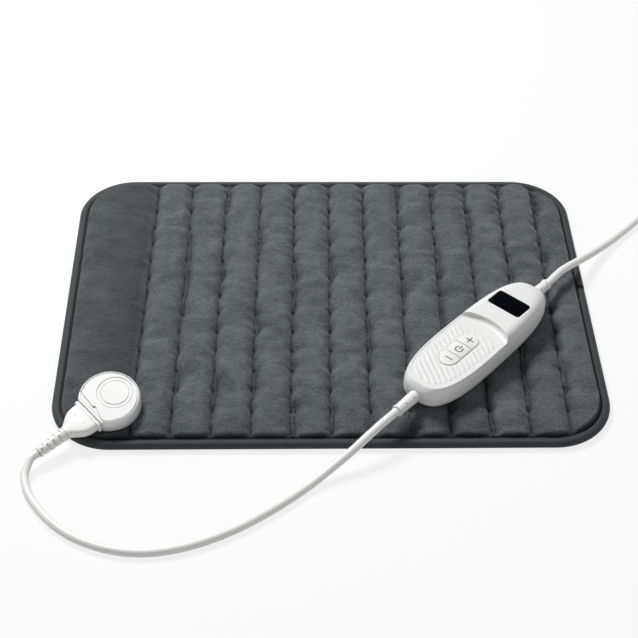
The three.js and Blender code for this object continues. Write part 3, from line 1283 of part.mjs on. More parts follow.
// Flat two-pin mains plug with its strain relief moulded on
function mainsPlugBody() {
  const section = (wide, tall, corner) => {
    const outline = roundedOutline(wide, tall, Math.min(corner, tall / 2 - CLEAR), 4);
    return outline.map((point) => new THREE.Vector2(point.x, point.y + mainsPlugAxis));
  };
  const rings = [];
  const relief = MAINS_RELIEF_DIAMETER;
  rings.push(ringAcross(section(relief - 1, relief - 1, relief / 2), 0));
  rings.push(ringAcross(section(relief, relief, relief / 2), MAINS_RELIEF_LENGTH));
  const bodySteps = 6;
  for (let step = 1; step <= bodySteps; step += 1) {
    const part = step / bodySteps;
    const swell = Math.sin((Math.PI / 2) * part) ** 1.4;
    const wide = relief + (MAINS_BODY_WIDTH - relief) * swell;
    const tall = relief + (MAINS_BODY_HEIGHT - relief) * Math.sqrt(swell);
    const at = MAINS_RELIEF_LENGTH + MAINS_BODY_LENGTH * part;
    rings.push(ringAcross(section(wide, tall, MAINS_BODY_CORNER), at));
  }
  const holes = mainsPinSides().map((aside) => {
    const end = MAINS_RELIEF_LENGTH + MAINS_BODY_LENGTH;
    const hole = alongX(rod(MAINS_PIN_DIAMETER + 2 * CLEAR, end - MAINS_PIN_ROOT - CLEAR, end + 1, 14));
    return solid(hole.translate(0, aside, mainsPlugAxis));
  });
  return cut(solid(loft(rings)), ...holes);
}

const mainsPinSides = () => [-MAINS_PIN_SPACING / 2, MAINS_PIN_SPACING / 2];

function mainsPin(aside) {
  const end = MAINS_RELIEF_LENGTH + MAINS_BODY_LENGTH;
  const [radius, tip] = [MAINS_PIN_DIAMETER / 2, end + MAINS_PIN_LENGTH];
  const round = radius / 2;
  const profile = [[0, end - MAINS_PIN_ROOT], [radius, end - MAINS_PIN_ROOT], [radius, tip - round]];
  return alongX(turned([...profile, [round, tip], [0, tip]], 14)).translate(0, aside, mainsPlugAxis);
}

// Assembly: the pad, then the groups that are turned on it
const part = new THREE.Group();
part.add(
  mesh("top_cover", topCover(), fleece()),
  mesh("bottom_cover", bottomCover(), fleece()),
  mesh("heating_carrier", heatingCarrier(), felt()),
  mesh("heating_wire", heatingWire(), redWire()),
  mesh("edge_binding", edgeBinding(), bindingCloth()),
);

const socket = new THREE.Group();
socket.position.copy(socketPlace);
socket.rotation.copy(socketAngles);
socket.add(
  mesh("socket_base", socketBase(), whitePlastic()),
  mesh("socket_lid", socketLid(), whitePlastic()),
  mesh("socket_backing_plate", socketBackingPlate(), greyPlastic()),
  mesh("socket_contact_block", socketContactBlock(), greyPlastic()),
  mesh("thermal_fuse", thermalFuse(), steel()),
  mesh("pad_plug_body", padPlugBody(), whitePlastic()),
  mesh("pad_plug_boot", padPlugBoot(), softVinyl()),
);
socketPins().forEach(({ place, aside }) => {
  socket.add(mesh(`socket_pin_${place + 2}`, pinSolid(aside, 0), brass()));
  socket.add(mesh(`plug_contact_${place + 2}`, plugContact(aside), brass()));
});
socketScrewSides().forEach((aside, at) => {
  socket.add(mesh(`socket_screw_${at + 1}`, socketScrew(aside), steel()));
});

const controller = new THREE.Group();
controller.position.set(controllerX, controllerY, controllerLow);
controller.rotation.z = radians(CONTROLLER_TURN);
controller.add(
  mesh("controller_top_shell", controllerTopShell(), whitePlastic()),
  mesh("controller_bottom_shell", controllerBottomShell(), whitePlastic()),
  mesh("circuit_board", circuitBoard(), boardGreen()),
  mesh("display_window", displayWindow(), blackGloss()),
  mesh("display_module", displayModule(), greyPlastic()),
  mesh("film_capacitor", filmCapacitor(), greyPlastic()),
  mesh("triac", onBoard(TRIAC_FROM_END, TRIAC_SIZE), blackGloss()),
  mesh("mains_fuse", mainsFuse(), glass()),
  mesh("front_boot", frontBoot(), softVinyl()),
  mesh("rear_boot", rearBoot(), softVinyl()),
);
["minus", "power", "plus"].forEach((name, at) => {
  controller.add(mesh(`${name}_key`, key(at - 1), paleKey()));
  controller.add(mesh(`switch_${name}`, keySwitch(at - 1), blackGloss()));
  controller.add(mesh(`plunger_${name}`, plunger(at - 1), greyPlastic()));
});
caseScrews().forEach((place, at) => {
  controller.add(mesh(`case_screw_${at + 1}`, caseScrew(place), steel()));
});

const mainsPlug = new THREE.Group();
mainsPlug.position.set(tailEnd.x, tailEnd.y, 0);
mainsPlug.rotation.z = Math.atan2(tailDirection.y, tailDirection.x);
mainsPlug.add(mesh("mains_plug_body", mainsPlugBody(), softVinyl()));
mainsPinSides().forEach((aside, at) => {
  mainsPlug.add(mesh(`mains_plug_pin_${at + 1}`, mainsPin(aside), brass()));
});

part.add(
  mesh("pad_cord", padCord(), softVinyl()),
  mesh("mains_cord_run", mainsRun(), softVinyl()),
  mesh("mains_cord_coil", mainsCoil(), softVinyl()),
  mesh("mains_cord_tail", mainsTail(), softVinyl()),
  mesh("coil_tie", coilTie(), bindingCloth()),
  socket,
  controller,
  mainsPlug,
);

console.log(`mains_cord_coil least gap to itself: ${leastCoilGap().toFixed(2)} mm`);

export default part;
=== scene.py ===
# Looks of an electric heating pad with a hand controller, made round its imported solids.
import json
from itertools import groupby, product
from math import atan2, cos, degrees, pi, radians, sin, sqrt
from random import Random

import bmesh
import bpy
import numpy as np
from mathutils import Matrix, Vector, noise

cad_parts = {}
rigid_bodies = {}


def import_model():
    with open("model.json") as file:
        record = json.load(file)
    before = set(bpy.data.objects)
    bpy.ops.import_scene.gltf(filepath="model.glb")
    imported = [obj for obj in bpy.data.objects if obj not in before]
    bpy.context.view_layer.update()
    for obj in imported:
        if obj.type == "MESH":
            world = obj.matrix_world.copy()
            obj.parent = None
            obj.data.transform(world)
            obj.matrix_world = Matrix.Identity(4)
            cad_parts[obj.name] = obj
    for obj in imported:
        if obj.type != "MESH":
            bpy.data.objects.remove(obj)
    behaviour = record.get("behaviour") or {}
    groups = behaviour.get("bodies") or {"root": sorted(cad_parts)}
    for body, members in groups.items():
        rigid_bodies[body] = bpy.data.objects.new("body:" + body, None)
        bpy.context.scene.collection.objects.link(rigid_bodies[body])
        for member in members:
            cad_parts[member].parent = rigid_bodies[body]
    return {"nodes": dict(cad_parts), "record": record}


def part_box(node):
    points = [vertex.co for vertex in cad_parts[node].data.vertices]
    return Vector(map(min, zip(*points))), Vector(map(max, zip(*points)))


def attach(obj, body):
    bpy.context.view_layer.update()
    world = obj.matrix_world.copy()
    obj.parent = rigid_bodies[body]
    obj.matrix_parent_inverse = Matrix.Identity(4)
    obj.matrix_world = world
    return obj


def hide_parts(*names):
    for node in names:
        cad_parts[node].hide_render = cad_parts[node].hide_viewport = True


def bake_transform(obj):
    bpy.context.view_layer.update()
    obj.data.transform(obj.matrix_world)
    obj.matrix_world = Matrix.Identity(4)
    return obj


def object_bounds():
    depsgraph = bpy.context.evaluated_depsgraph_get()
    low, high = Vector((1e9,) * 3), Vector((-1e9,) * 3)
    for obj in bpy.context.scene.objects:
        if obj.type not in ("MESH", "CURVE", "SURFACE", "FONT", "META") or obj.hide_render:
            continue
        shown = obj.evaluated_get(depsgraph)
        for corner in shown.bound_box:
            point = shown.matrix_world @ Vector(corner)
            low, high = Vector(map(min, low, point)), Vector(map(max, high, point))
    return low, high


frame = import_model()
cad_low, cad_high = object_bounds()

# Lengths below are in millimetres and angles in degrees unless a comment says otherwise
MM = 0.001


def bottom_of(node):
    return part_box(node)[0].z / MM


# Pad
PAD_LENGTH = 400
PAD_WIDTH = 300
PAD_CORNER = 44
CORNER_X = PAD_LENGTH / 2 - PAD_CORNER
CORNER_Y = PAD_WIDTH / 2 - PAD_CORNER
BINDING_WIDTH = 7.0
BINDING_ROLL = 3.2
GROOVE_INSET = 5.5
LAP_Y = 15
LAP_LENGTH = 28
LAP_GAP = 0.5
COVER_INSET = 7.3
COVER_CORNER = PAD_CORNER - COVER_INSET
UNDERSIDE_INSET = 5.0
SEAM_COUNT = 12
SEAM_PITCH = 28.15
FIRST_SEAM_X = -139.6
SEAM_LEAN = 3
LEAN_UP_TO = 150
LEAN_FADE = 30
SEAM_TOP = 6.2
CREST_TOP = 11.4
SEAT_TOP = 7.0
STITCH_PITCH = 20.45
FIRST_STITCH_Y = -117.5
STITCH_ROWS = 12
STRIP_LEAST = 1.5
CLOTH_EXCESS = 0.05
CLOTH_PRESSURE = 4
CLOTH_FRAMES = 16
CLOTH_LIMIT = 1.3
PANEL_SHADE = 0.58

# Socket and its plug, along the plug's axis
SOCKET_PLACE = (-153, -112, 6)
SOCKET_TURN = 222
SOCKET_TILT = 12
SOCKET_HALF = 22
SOCKET_MIDDLE = 5.2
SOCKET_FRONT = 22.8
SOCKET_CORNER = 6
SOCKET_WALL = 2.2
SEAT_MARGIN = 2
SEAT_GAP = 0.1
MOUND_FLARE = 8
MOUND_DEPTH = 10.2
LANE_LENGTH = 53
LANE_HALF = 16.1
PLUG_AXIS_Z = 12.9
PLUG_TIP = 67.6

# Controller, along its own axis
CONTROLLER_PLACE = (91.3, -81.5)
CONTROLLER_TURN = 47.4
CONTROLLER_LOW = bottom_of("controller_bottom_shell")
CASE_LENGTH = 146
CASE_WIDTH = 46.5
CASE_MIDDLE = 23
CASE_CROWN = 24
CASE_SPLIT = 10
CASE_WALL = 2
END_DRAW = 2.6
PARTING_GROOVE = 0.35
GAP = 0.3
KEY_FACE = 19.5
KEY_TOP = 20.3
KEY_ROW_LENGTH = 38
KEY_ROW_WIDTH = 14
FRONT_TIP = -70
REAR_TIP = 111
SCREEN_AT = 60.1
SCREEN_LENGTH = 16.2
SCREEN_WIDTH = 27.8
SCREEN_CORNER = 2
BOOT_AXIS = 10

# Cords
CORD_DIAMETER = 6
STRAIGHT_END = 6
COIL_PLACE = (318, 102)
COIL_RADIUS = 27
COIL_PITCH = 6.5
COIL_LOW = 4.3
COIL_TURNS = 3.25
COIL_START = 137
TAIL_LENGTH = 58
TAIL_Z = 6.85


# Places of the turned groups

def placed(x, y, z, turn, tilt=0):
    leaned = Matrix.Translation((x, y, z)) @ Matrix.Rotation(radians(tilt), 4, "X")
    return Matrix.Scale(MM, 4) @ leaned @ Matrix.Rotation(radians(turn), 4, "Z")


PAD_FRAME = Matrix.Scale(MM, 4)
SOCKET_FRAME = placed(*SOCKET_PLACE, SOCKET_TURN, SOCKET_TILT)
CONTROLLER_FRAME = placed(*CONTROLLER_PLACE, CONTROLLER_LOW, CONTROLLER_TURN)


def socket_point(along):
    return SOCKET_FRAME @ Vector((along, 0, PLUG_AXIS_Z)) / MM


def controller_point(along):
    return CONTROLLER_FRAME @ Vector((along, 0, BOOT_AXIS)) / MM


def smooth_step(value, low, high):
    share = np.clip((value - low) / (high - low), 0, 1)
    return share * share * (3 - 2 * share)


def linked(name, data):
    obj = bpy.data.objects.new(name, data)
    bpy.context.scene.collection.objects.link(obj)
    return obj


# Camera that took the picture

def add_camera():
    place = Vector((-37.86, -856.25, 778.84))
    yaw, pitch, roll = radians(2.074), radians(42.765), radians(1.254)
    data = bpy.data.cameras.new("camera")
    data.sensor_width = 36
    data.lens = 84.78
    data.clip_end = 20
    camera = linked("camera", data)
    facing = Matrix.Rotation(-yaw, 4, "Z") @ Matrix.Rotation(pi / 2 - pitch, 4, "X")
    camera.matrix_world = Matrix.Translation(place * MM) @ facing @ Matrix.Rotation(roll, 4, "Z")
    bpy.context.scene.camera = camera


# Shapes as lists of points and faces

def piece(name, shape, matrix):
    points, faces = shape
    mesh = bpy.data.meshes.new(name)
    mesh.from_pydata([matrix @ Vector(point) for point in points], [], faces)
    return linked(name, mesh)


def loft(rings, closed=False):
    """Skin through rings of equally many points, capped at both ends or closed on itself."""
    count, levels = len(rings[0]), len(rings)
    points = [point for ring in rings for point in ring]
    faces = []
    for level in range(levels if closed else levels - 1):
        low, high = level * count, (level + 1) % levels * count
        for i in range(count):
            j = (i + 1) % count
            faces.append((low + i, low + j, high + j, high + i))
    if not closed:
        faces.append(tuple(reversed(range(count))))
        faces.append(tuple(range((levels - 1) * count, levels * count)))
    return points, faces


def raised(outline, z):
    return [(x, y, z) for x, y in outline]


def across(outline, x):
    return [(x, y, z) for y, z in outline]


def prism(outline, low, high):
    return loft([raised(outline, low), raised(outline, high)])


def arc(x, y, radius, start, end, steps):
    angles = [radians(start + (end - start) * i / steps) for i in range(steps + 1)]
    return [(x + radius * cos(a), y + radius * sin(a)) for a in angles]


def rounded(length, width, corner, steps=10, x=0, y=0):
    a, b = length / 2 - corner, width / 2 - corner
    corners = [(a, -b, -90), (a, b, 0), (-a, b, 90), (-a, -b, 180)]
    return [p for cx, cy, start in corners for p in arc(x + cx, y + cy, corner, start, start + 90, steps)]


def circle(radius, sides, x=0, y=0):
    return arc(x, y, radius, 0, 360 - 360 / sides, sides - 1)


def turned(profile, sides=56, z=0, y=0):
    """Round body along X from points of radius and place."""
    return loft([across(circle(radius, sides, y, z), x) for radius, x in profile])


def ball(x, y, z, radius):
    profile = [(radius * sin(radians(a)), x - radius * cos(radians(a))) for a in range(6, 175, 12)]
    return turned(profile, 24, z, y)


def carved(shape, *cutters, operation="DIFFERENCE"):
    target = piece("carved", shape, Matrix())
    tools = [piece("tool", cutter, Matrix()) for cutter in cutters]
    for tool in tools:
        modifier = target.modifiers.new("carve", "BOOLEAN")
        modifier.operation = operation
        modifier.solver = "MANIFOLD"
        modifier.object = tool
    solved = target.evaluated_get(bpy.context.evaluated_depsgraph_get())
    mesh = solved.to_mesh()
    points = [tuple(vertex.co) for vertex in mesh.vertices]
    faces = [tuple(face.vertices) for face in mesh.polygons]
    solved.to_mesh_clear()
    for obj in [target, *tools]:
        bpy.data.objects.remove(obj)
    return points, faces


def shade(obj, sharp_angle):
    """Smooth faces with sharp edges where the surface turns by more than the angle."""
    mesh = bmesh.new()
    mesh.from_mesh(obj.data)
    bmesh.ops.recalc_face_normals(mesh, faces=mesh.faces)
    for face in mesh.faces:
        face.smooth = True
    for edge in mesh.edges:
        edge.smooth = len(edge.link_faces) == 2 and edge.calc_face_angle() < radians(sharp_angle)
    mesh.to_mesh(obj.data)
    mesh.free()


def add_piece(name, shape, matrix, slot, nodes=(), body="root", sharp_angle=32, paint=None, **values):
    """A painted piece with its point values, on its body and in place of its nodes."""
    obj = piece(name, shape, matrix)
    for value, numbers in values.items():
        obj.data.attributes.new(value, "FLOAT", "POINT").data.foreach_set("value", numbers)
    obj.data.materials.append(paint or PAINTS[slot])
    shade(obj, sharp_angle)
    if body:
        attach(obj, body)
    if nodes:
        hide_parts(*nodes)
    return obj


# Paints

class Paint:
    """A surface of node textures over one principled shader."""

    def __init__(self, name, **values):
        self.material = bpy.data.materials.new(name)
        self.material.use_nodes = True
        self.tree = self.material.node_tree
        self.shader = self.tree.nodes["Principled BSDF"]
        self.place = self.node("TexCoord").outputs["Object"]
        self.put(**values)

    def join(self, source, target):
        if hasattr(source, "is_output"):
            self.tree.links.new(source, target)
        else:
            target.default_value = source

    def fill(self, node, **sources):
        """Joins or sets a node's inputs, named with underscores for spaces."""
        for socket, source in sources.items():
            self.join(source, node.inputs[socket.replace("_", " ")])
        return node

    def node(self, kind, **sources):
        return self.fill(self.tree.nodes.new(f"ShaderNode{kind}"), **sources)

    def put(self, **sources):
        self.fill(self.shader, **sources)
        return self.material

    def stretched(self, stretch, turn=0):
        mapping = self.node("Mapping", Vector=self.place, Rotation=(0, 0, radians(turn)), Scale=stretch)
        return mapping.outputs["Vector"]

    def noise(self, size, detail=3, place=None):
        """Noise from 0 to 1 with features of about that many millimetres."""
        node = self.node("TexNoise", Vector=place or self.place, Scale=1 / (size * MM), Detail=detail)
        return node.outputs["Fac"]

    def attribute(self, name):
        node = self.node("Attribute")
        node.attribute_name = name
        return node.outputs["Fac"]

    def math(self, kind, *values):
        node = self.node("Math")
        node.operation = kind
        for value, socket in zip(values, node.inputs):
            self.join(value, socket)
        return node.outputs[0]

    def ranged(self, value, low, high, from_low=0.0, from_high=1.0):
        bounds = {"From_Min": from_low, "From_Max": from_high, "To_Min": low, "To_Max": high}
        return self.node("MapRange", Value=value, **bounds).outputs["Result"]

    def mixed(self, share, first, second, blend="MIX"):
        node = self.node("Mix")
        node.data_type = "RGBA"
        node.blend_type = blend
        self.fill(node, Factor=share)
        self.join(first, node.inputs[6])
        self.join(second, node.inputs[7])
        return node.outputs[2]

    def bumped(self, height, distance, strength=1.0, over=None):
        node = self.node("Bump", Height=height, Strength=strength, Distance=distance * MM)
        if over:
            self.fill(node, Normal=over)
        return node.outputs["Normal"]

    def eased_edges(self, radius):
        node = self.node("Bevel", Radius=radius * MM)
        node.samples = 6
        return node.outputs["Normal"]


def grey(level, warm=0.0):
    return level * (1 + warm), level, level * (1 - warm), 1


def darker(colour, share):
    return [c * share for c in colour[:3]] + [1]


def moulded(name, colour, roughness, grain=0.9, depth=0.01, edge=0.35):
    """Plastic with a fine grain, uneven gloss and eased edges."""
    paint = Paint(name)
    tint = paint.mixed(paint.noise(30, 2), darker(colour, 0.985), colour)
    rough = paint.ranged(paint.noise(14, 4), roughness - 0.05, roughness + 0.06)
    normal = paint.bumped(paint.noise(grain, 2), depth, 0.6, paint.eased_edges(edge))
    return paint.put(Base_Color=tint, Roughness=rough, Normal=normal)


def woven(name, dark, light, pitch, depth):
    """Cloth of crossing threads with patches of wear."""
    paint = Paint(name)
    threads = []
    for axis in "XY":
        wave = paint.node("TexWave", Vector=paint.place, Scale=0.31 / (pitch * MM), Distortion=0.6)
        wave.bands_direction = axis
        threads.append(wave.outputs["Fac"])
    weave = paint.math("MULTIPLY", *threads)
    tint = paint.mixed(paint.noise(9, 4), dark, light)
    rough = paint.ranged(paint.noise(6), 0.84, 0.96)
    return paint.put(Base_Color=tint, Roughness=rough, Normal=paint.bumped(weave, depth))


def brushed(name, colour, roughness):
    """Metal with fine draw marks."""
    paint = Paint(name, Metallic=1.0)
    marks = paint.noise(2, 4, paint.stretched((1, 1, 0.08)))
    tint = paint.mixed(paint.noise(5), darker(colour, 0.85), colour)
    rough = paint.ranged(marks, roughness - 0.07, roughness + 0.1)
    return paint.put(Base_Color=tint, Roughness=rough, Normal=paint.bumped(marks, 0.01))


def fleece_paint():
    """Brushed pile that lies this way and that, with shade painted down in the seams, along the hem and over
    the plain panel.
    """
    paint = Paint("fleece", Sheen_Weight=0.28, Sheen_Roughness=0.45, Specular_IOR_Level=0.15)
    dark, light, crease_shade = (0.068, 0.077, 0.079, 1), (0.144, 0.158, 0.161, 1), (0.015, 0.019, 0.02, 1)
    patches = paint.noise(16, 5, paint.stretched((0.8, 1.2, 1), 12))
    strokes = paint.noise(3.4, 4, paint.stretched((0.8, 1.5, 1), -12))
    pile = paint.noise(0.9, 4)
    lie = paint.math("ADD", paint.math("MULTIPLY", patches, 0.6), paint.math("MULTIPLY", strokes, 0.4))
    tint = paint.mixed(paint.ranged(lie, 0, 1, 0.33, 0.67), dark, light)
    grain = paint.mixed(paint.ranged(pile, 0, 1, 0.3, 0.7), grey(0.38), grey(1.42))
    napped = paint.mixed(0.8, tint, grain, "MULTIPLY")
    # Painted shade: the pile turns near black where the quilt's painted-shade value is high, in creases,
    # valleys, at the hem and over the plain panel
    shadowed = paint.mixed(paint.attribute("valley"), napped, crease_shade)
    normal = paint.bumped(pile, 0.45, 0.7, paint.bumped(strokes, 0.9, 0.55))
    return paint.put(Base_Color=shadowed, Roughness=paint.ranged(pile, 0.86, 1.0), Normal=normal)


def binding_paint():
    """Satin tape with fine cross ribs, with shade painted in the groove along it and at the ends of the lap.
    """
    paint = Paint("binding", Sheen_Weight=0.12, Sheen_Roughness=0.4, Specular_IOR_Level=0.22)
    rib_pitch = 1.15
    ribs = paint.math("SINE", paint.math("MULTIPLY", paint.attribute("along"), 2 * pi / rib_pitch))
    tint = paint.mixed(paint.noise(7, 4), (0.038, 0.043, 0.045, 1), (0.066, 0.073, 0.076, 1))
    ribbed = paint.mixed(paint.ranged(ribs, 0, 1, -1, 1), tint, (0.048, 0.054, 0.056, 1))
    # Painted shade: near black where the groove value marks the groove beside the roll or an end of the lap
    shadowed = paint.mixed(paint.attribute("groove"), ribbed, (0.006, 0.0075, 0.008, 1))
    normal = paint.bumped(ribs, 0.12, 0.8, paint.bumped(paint.noise(5, 3), 0.5, 0.5))
    return paint.put(Base_Color=shadowed, Roughness=paint.ranged(paint.noise(10), 0.48, 0.62), Normal=normal)


def screen_paint():
    paint = Paint("screen", Base_Color=(0.001, 0.0017, 0.004, 1), Specular_IOR_Level=0.05)
    smears = paint.noise(9, 4, paint.stretched((1, 0.3, 1), CONTROLLER_TURN))
    normal = paint.bumped(paint.noise(12), 0.004, 0.3, paint.eased_edges(0.4))
    return paint.put(Roughness=paint.ranged(smears, 0.05, 0.16), Normal=normal)


PLASTICS = {
    "heating_wire": ((0.75, 0.7, 0.6, 1), 0.45),
    "white_shell": ((0.86, 0.86, 0.855, 1), 0.42),
    "inner_plastic": ((0.5, 0.5, 0.48, 1), 0.5),
    "black_plastic": (grey(0.02), 0.4),
    "key": ((0.88, 0.88, 0.865, 1), 0.46, 0.5, 0.012, 0.2),
    "board": ((0.02, 0.16, 0.06, 1), 0.4),
    "fuse_glass": ((0.7, 0.72, 0.7, 1), 0.12),
    "vinyl": ((0.92, 0.92, 0.91, 1), 0.34, 1.4, 0.02, 0.3),
}
CLOTHS = {
    "backing_fabric": (grey(0.06), grey(0.1), 0.8, 0.15),
    "felt": (grey(0.5, 0.04), grey(0.62, 0.04), 1.4, 0.2),
    "tie": (grey(0.03), grey(0.055), 0.9, 0.3),
}
METALS = {"steel": ((0.6, 0.6, 0.61, 1), 0.3), "brass": ((0.72, 0.5, 0.2, 1), 0.28)}
PAINTS = {"fleece": fleece_paint(), "binding": binding_paint(), "screen": screen_paint()}
for make, looks in ((moulded, PLASTICS), (woven, CLOTHS), (brushed, METALS)):
    PAINTS |= {slot: make(slot, *look) for slot, look in looks.items()}
INK = moulded("symbol_ink", (0.11, 0.113, 0.118, 1), 0.5, 0.3, 0.004, 0.05)
# Stitch thread, near black, so that it also stands for painted shade in the stitch holes
STITCH_THREAD_AND_SHADE = woven("thread", grey(0.006), grey(0.012), 0.3, 0.1)


# Cords

def spline(points, step=2.0):
    """Evenly spaced points along a smooth curve through the given ones."""
    knots = [np.array(point, float) for point in points]
    knots = [2 * knots[0] - knots[1], *knots, 2 * knots[-1] - knots[-2]]
    dense = []
    for a, b, c, d in zip(knots, knots[1:], knots[2:], knots[3:]):
        t1, t2, t3 = np.cumsum([sqrt(np.linalg.norm(gap)) for gap in (b - a, c - b, d - c)])
        for t in np.linspace(t1, t2, 24, endpoint=False):
            ab = a + (b - a) * t / t1
            bc = b + (c - b) * (t - t1) / (t2 - t1)
            cd = c + (d - c) * (t - t2) / (t3 - t2)
            low = ab + (bc - ab) * t / t2
            high = bc + (cd - bc) * (t - t1) / (t3 - t1)
            dense.append(low + (high - low) * (t - t1) / (t2 - t1))
    dense.append(knots[-2])
    return spaced(dense, step)


def spaced(line, step):
    line = np.array(line)
    runs = np.concatenate([[0], np.cumsum(np.linalg.norm(np.diff(line, axis=0), axis=1))])
    places = np.linspace(0, runs[-1], max(2, round(runs[-1] / step)) + 1)
    return np.stack([np.interp(places, runs, line[:, k]) for k in range(3)], axis=1)


def tube(line, radius, sides=20):
    """Round skin along a line, its rings turned as little as they can be."""
    ways = np.gradient(line, axis=0)
    ways /= np.linalg.norm(ways, axis=1)[:, None]
    side = np.cross(ways[0], (0, 0, 1))
    angles = 2 * pi * np.arange(sides)[:, None] / sides
    rings = []
    for point, way in zip(line, ways):
        side = side - way * side.dot(way)
        side /= np.linalg.norm(side)
        up = np.cross(side, way)
        rings.append(point + radius * (side * np.cos(angles) + up * np.sin(angles)))
    return loft(rings)


def coil_point(turns):
    """Point after that many turns: down into the flat coil, over, and out again on top of it."""
    angle = radians(COIL_START - 360 * turns)
    radius = COIL_RADIUS + COIL_PITCH * (abs(turns - COIL_TURNS) - 0.25)
    lift = COIL_PITCH * smooth_step(turns, 3, 3.5)
    x, y = COIL_PLACE
    return Vector((x + radius * cos(angle), y + radius * sin(angle), COIL_LOW + lift))


def coil_way(turns):
    angle = radians(COIL_START - 360 * turns)
    return Vector((sin(angle), -cos(angle), 0))


LAST_TURN = 2 * COIL_TURNS
coil_start = coil_point(0) - coil_way(0) * STRAIGHT_END
coil_end = coil_point(LAST_TURN) + coil_way(LAST_TURN) * STRAIGHT_END
tail_end = coil_end + coil_way(LAST_TURN) * TAIL_LENGTH
tail_end.z = TAIL_Z


def pad_cord_line():
    over_edge = [(-210, -169.3, 6.6), (-211, -175.2, 5.3), (-209.9, -182.2, 4.2), (-207, -190.4, 3.4)]
    on_table = [
        (-202.4, -198.2), (-195.7, -207.5), (-186.3, -217.8), (-173.9, -227.4), (-159.5, -234.6),
        (-144.2, -239.2), (-128.6, -240.9), (-112.4, -239.4), (-96.4, -235.3), (-80.3, -228.8), (-64, -220.1),
        (-47.6, -209), (-30.8, -196),
    ]
    up_to_case = [
        (-20.6, -187.3, 3.2), (-10.3, -178.7, 4.8), (0.1, -170.7, 8.1), (10.5, -163.4, 12.6),
        (21, -154.8, 17.1), (31.7, -145.1, 20.4),
    ]
    start = [socket_point(PLUG_TIP + GAP), socket_point(PLUG_TIP + STRAIGHT_END)]
    end = [controller_point(FRONT_TIP - STRAIGHT_END), controller_point(FRONT_TIP - GAP)]
    laid = [(x, y, CORD_DIAMETER / 2) for x, y in on_table]
    return spline(start + over_edge + laid + up_to_case + end)


def mains_lead_line():
    over_edge = [
        (179.6, 16.2, 20.7), (188.6, 26.3, 18.1), (197.9, 36.8, 14.1), (207.2, 47.7, 10), (216.5, 58.1, 6.8),
        (225.7, 68.2, 4.6), (234.8, 77.8, 3.4), (244.8, 88.3, 3), (256, 100.4, 3), (266, 112.8, 3),
    ]
    start = [controller_point(REAR_TIP + GAP), controller_point(REAR_TIP + STRAIGHT_END)]
    run = spline(start + over_edge + [coil_start, coil_point(0)])
    turns = [coil_point(LAST_TURN * k / 640) for k in range(1, 641)]
    drop = [(0.15, 1), (0.38, 0.7), (0.62, 0.3), (0.85, 0)]
    tail = [coil_point(LAST_TURN), coil_end]
    for share, lift in drop:
        x, y, _ = coil_end.lerp(tail_end, share)
        tail.append((x, y, TAIL_Z + (coil_end.z - TAIL_Z) * lift))
    tail.append(tail_end)
    return spaced([*run, *turns, *spline(tail)], 1.6)


def add_cord(name, line, nodes, body=None):
    return add_piece(name, tube(line, CORD_DIAMETER / 2), PAD_FRAME, "vinyl", nodes, body, 40)


add_camera()
pad_line = pad_cord_line()
pad_cord = add_cord("pad_cord_flex", pad_line, ["pad_cord"])
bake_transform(pad_cord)
mains_line = mains_lead_line()
mains_nodes = ["mains_cord_run", "mains_cord_coil", "mains_cord_tail"]
mains_lead = add_cord("mains_lead", mains_line, mains_nodes, "root")


# Quilted top of the pad

def lean(y):
    return SEAM_LEAN * y / (PAD_WIDTH / 2)


def seam_x(index, y):
    return FIRST_SEAM_X + index * SEAM_PITCH + lean(y)


def ripple(x, y, size, seed, stretch=1.0):
    """Smooth noise from -1 to 1 with features of that size, stretched along Y."""
    flat = [noise.noise(Vector((a / size, b / (size * stretch), seed))) for a, b in zip(x.flat, y.flat)]
    return np.array(flat).reshape(x.shape)


def edge_distance(x, y):
    """How far a point lies inside the cover's rounded edge."""
    out_x, out_y = np.abs(x) - CORNER_X, np.abs(y) - CORNER_Y
    outside = np.hypot(np.maximum(out_x, 0), np.maximum(out_y, 0))
    return COVER_CORNER - outside - np.minimum(np.maximum(out_x, out_y), 0)


def quilt_columns(in_channel, in_panel):
    """Places across the quilt, closer together at the seams and round the corners."""
    bend = [CORNER_X + COVER_CORNER * sin(radians(90 * k / in_panel)) for k in range(in_panel + 1)]
    left = sorted(-x for x in bend)
    places = left + list(np.linspace(left[-1], FIRST_SEAM_X, in_panel // 2 + 1)[1:-1])
    shares = np.arange(in_channel) / in_channel
    shares = shares - 0.6 * np.sin(2 * pi * shares) / (2 * pi)
    for k in range(SEAM_COUNT - 1):
        places += list(seam_x(k, 0) + SEAM_PITCH * shares)
    last = seam_x(SEAM_COUNT - 1, 0)
    gap = [x for x in bend if x > last + 1]
    places += list(np.linspace(last, gap[0], in_panel // 2 + 1)[:-1]) + gap
    return np.array(places)


def quilt_rows(count):
    """Shares of the way from front to back, closer together at both ends."""
    share = np.linspace(-1, 1, count)
    return share + 0.12 * np.sin(pi * share) / pi


def quilt_plan(columns, rows):
    """Plan of the grid, whose lines lean with the seams and straighten at the pad's ends."""
    beyond = np.clip(np.abs(columns) - CORNER_X, 0, COVER_CORNER)
    reach = CORNER_Y + np.sqrt(np.maximum(COVER_CORNER ** 2 - beyond ** 2, 0))
    y = reach[:, None] * rows[None, :]
    leaning = np.clip(1 - (np.abs(columns) - LEAN_UP_TO) / LEAN_FADE, 0, 1)
    return columns[:, None] + leaning[:, None] * lean(y), y


def gathered(seam):
    """How strongly the stitches pull a seam in, the first ones least."""
    return 0.3 + 0.7 * smooth_step(seam, 1, 5)


def near_seam(x, y):
    """Nearest seam, signed distance from its wavering line, and 0 at a stitch to 1 midway to the next."""
    steps = (x - lean(y) - FIRST_SEAM_X) / SEAM_PITCH
    seam = np.clip(np.round(steps), 0, SEAM_COUNT - 1)
    between = np.sin(pi * (y - FIRST_STITCH_Y) / STITCH_PITCH) ** 2
    bow = 0.6 * ripple(seam * 53.0, y, 23, 3.1) - 0.75 * gathered(seam) * between
    return seam, (steps - seam) * SEAM_PITCH - bow, between


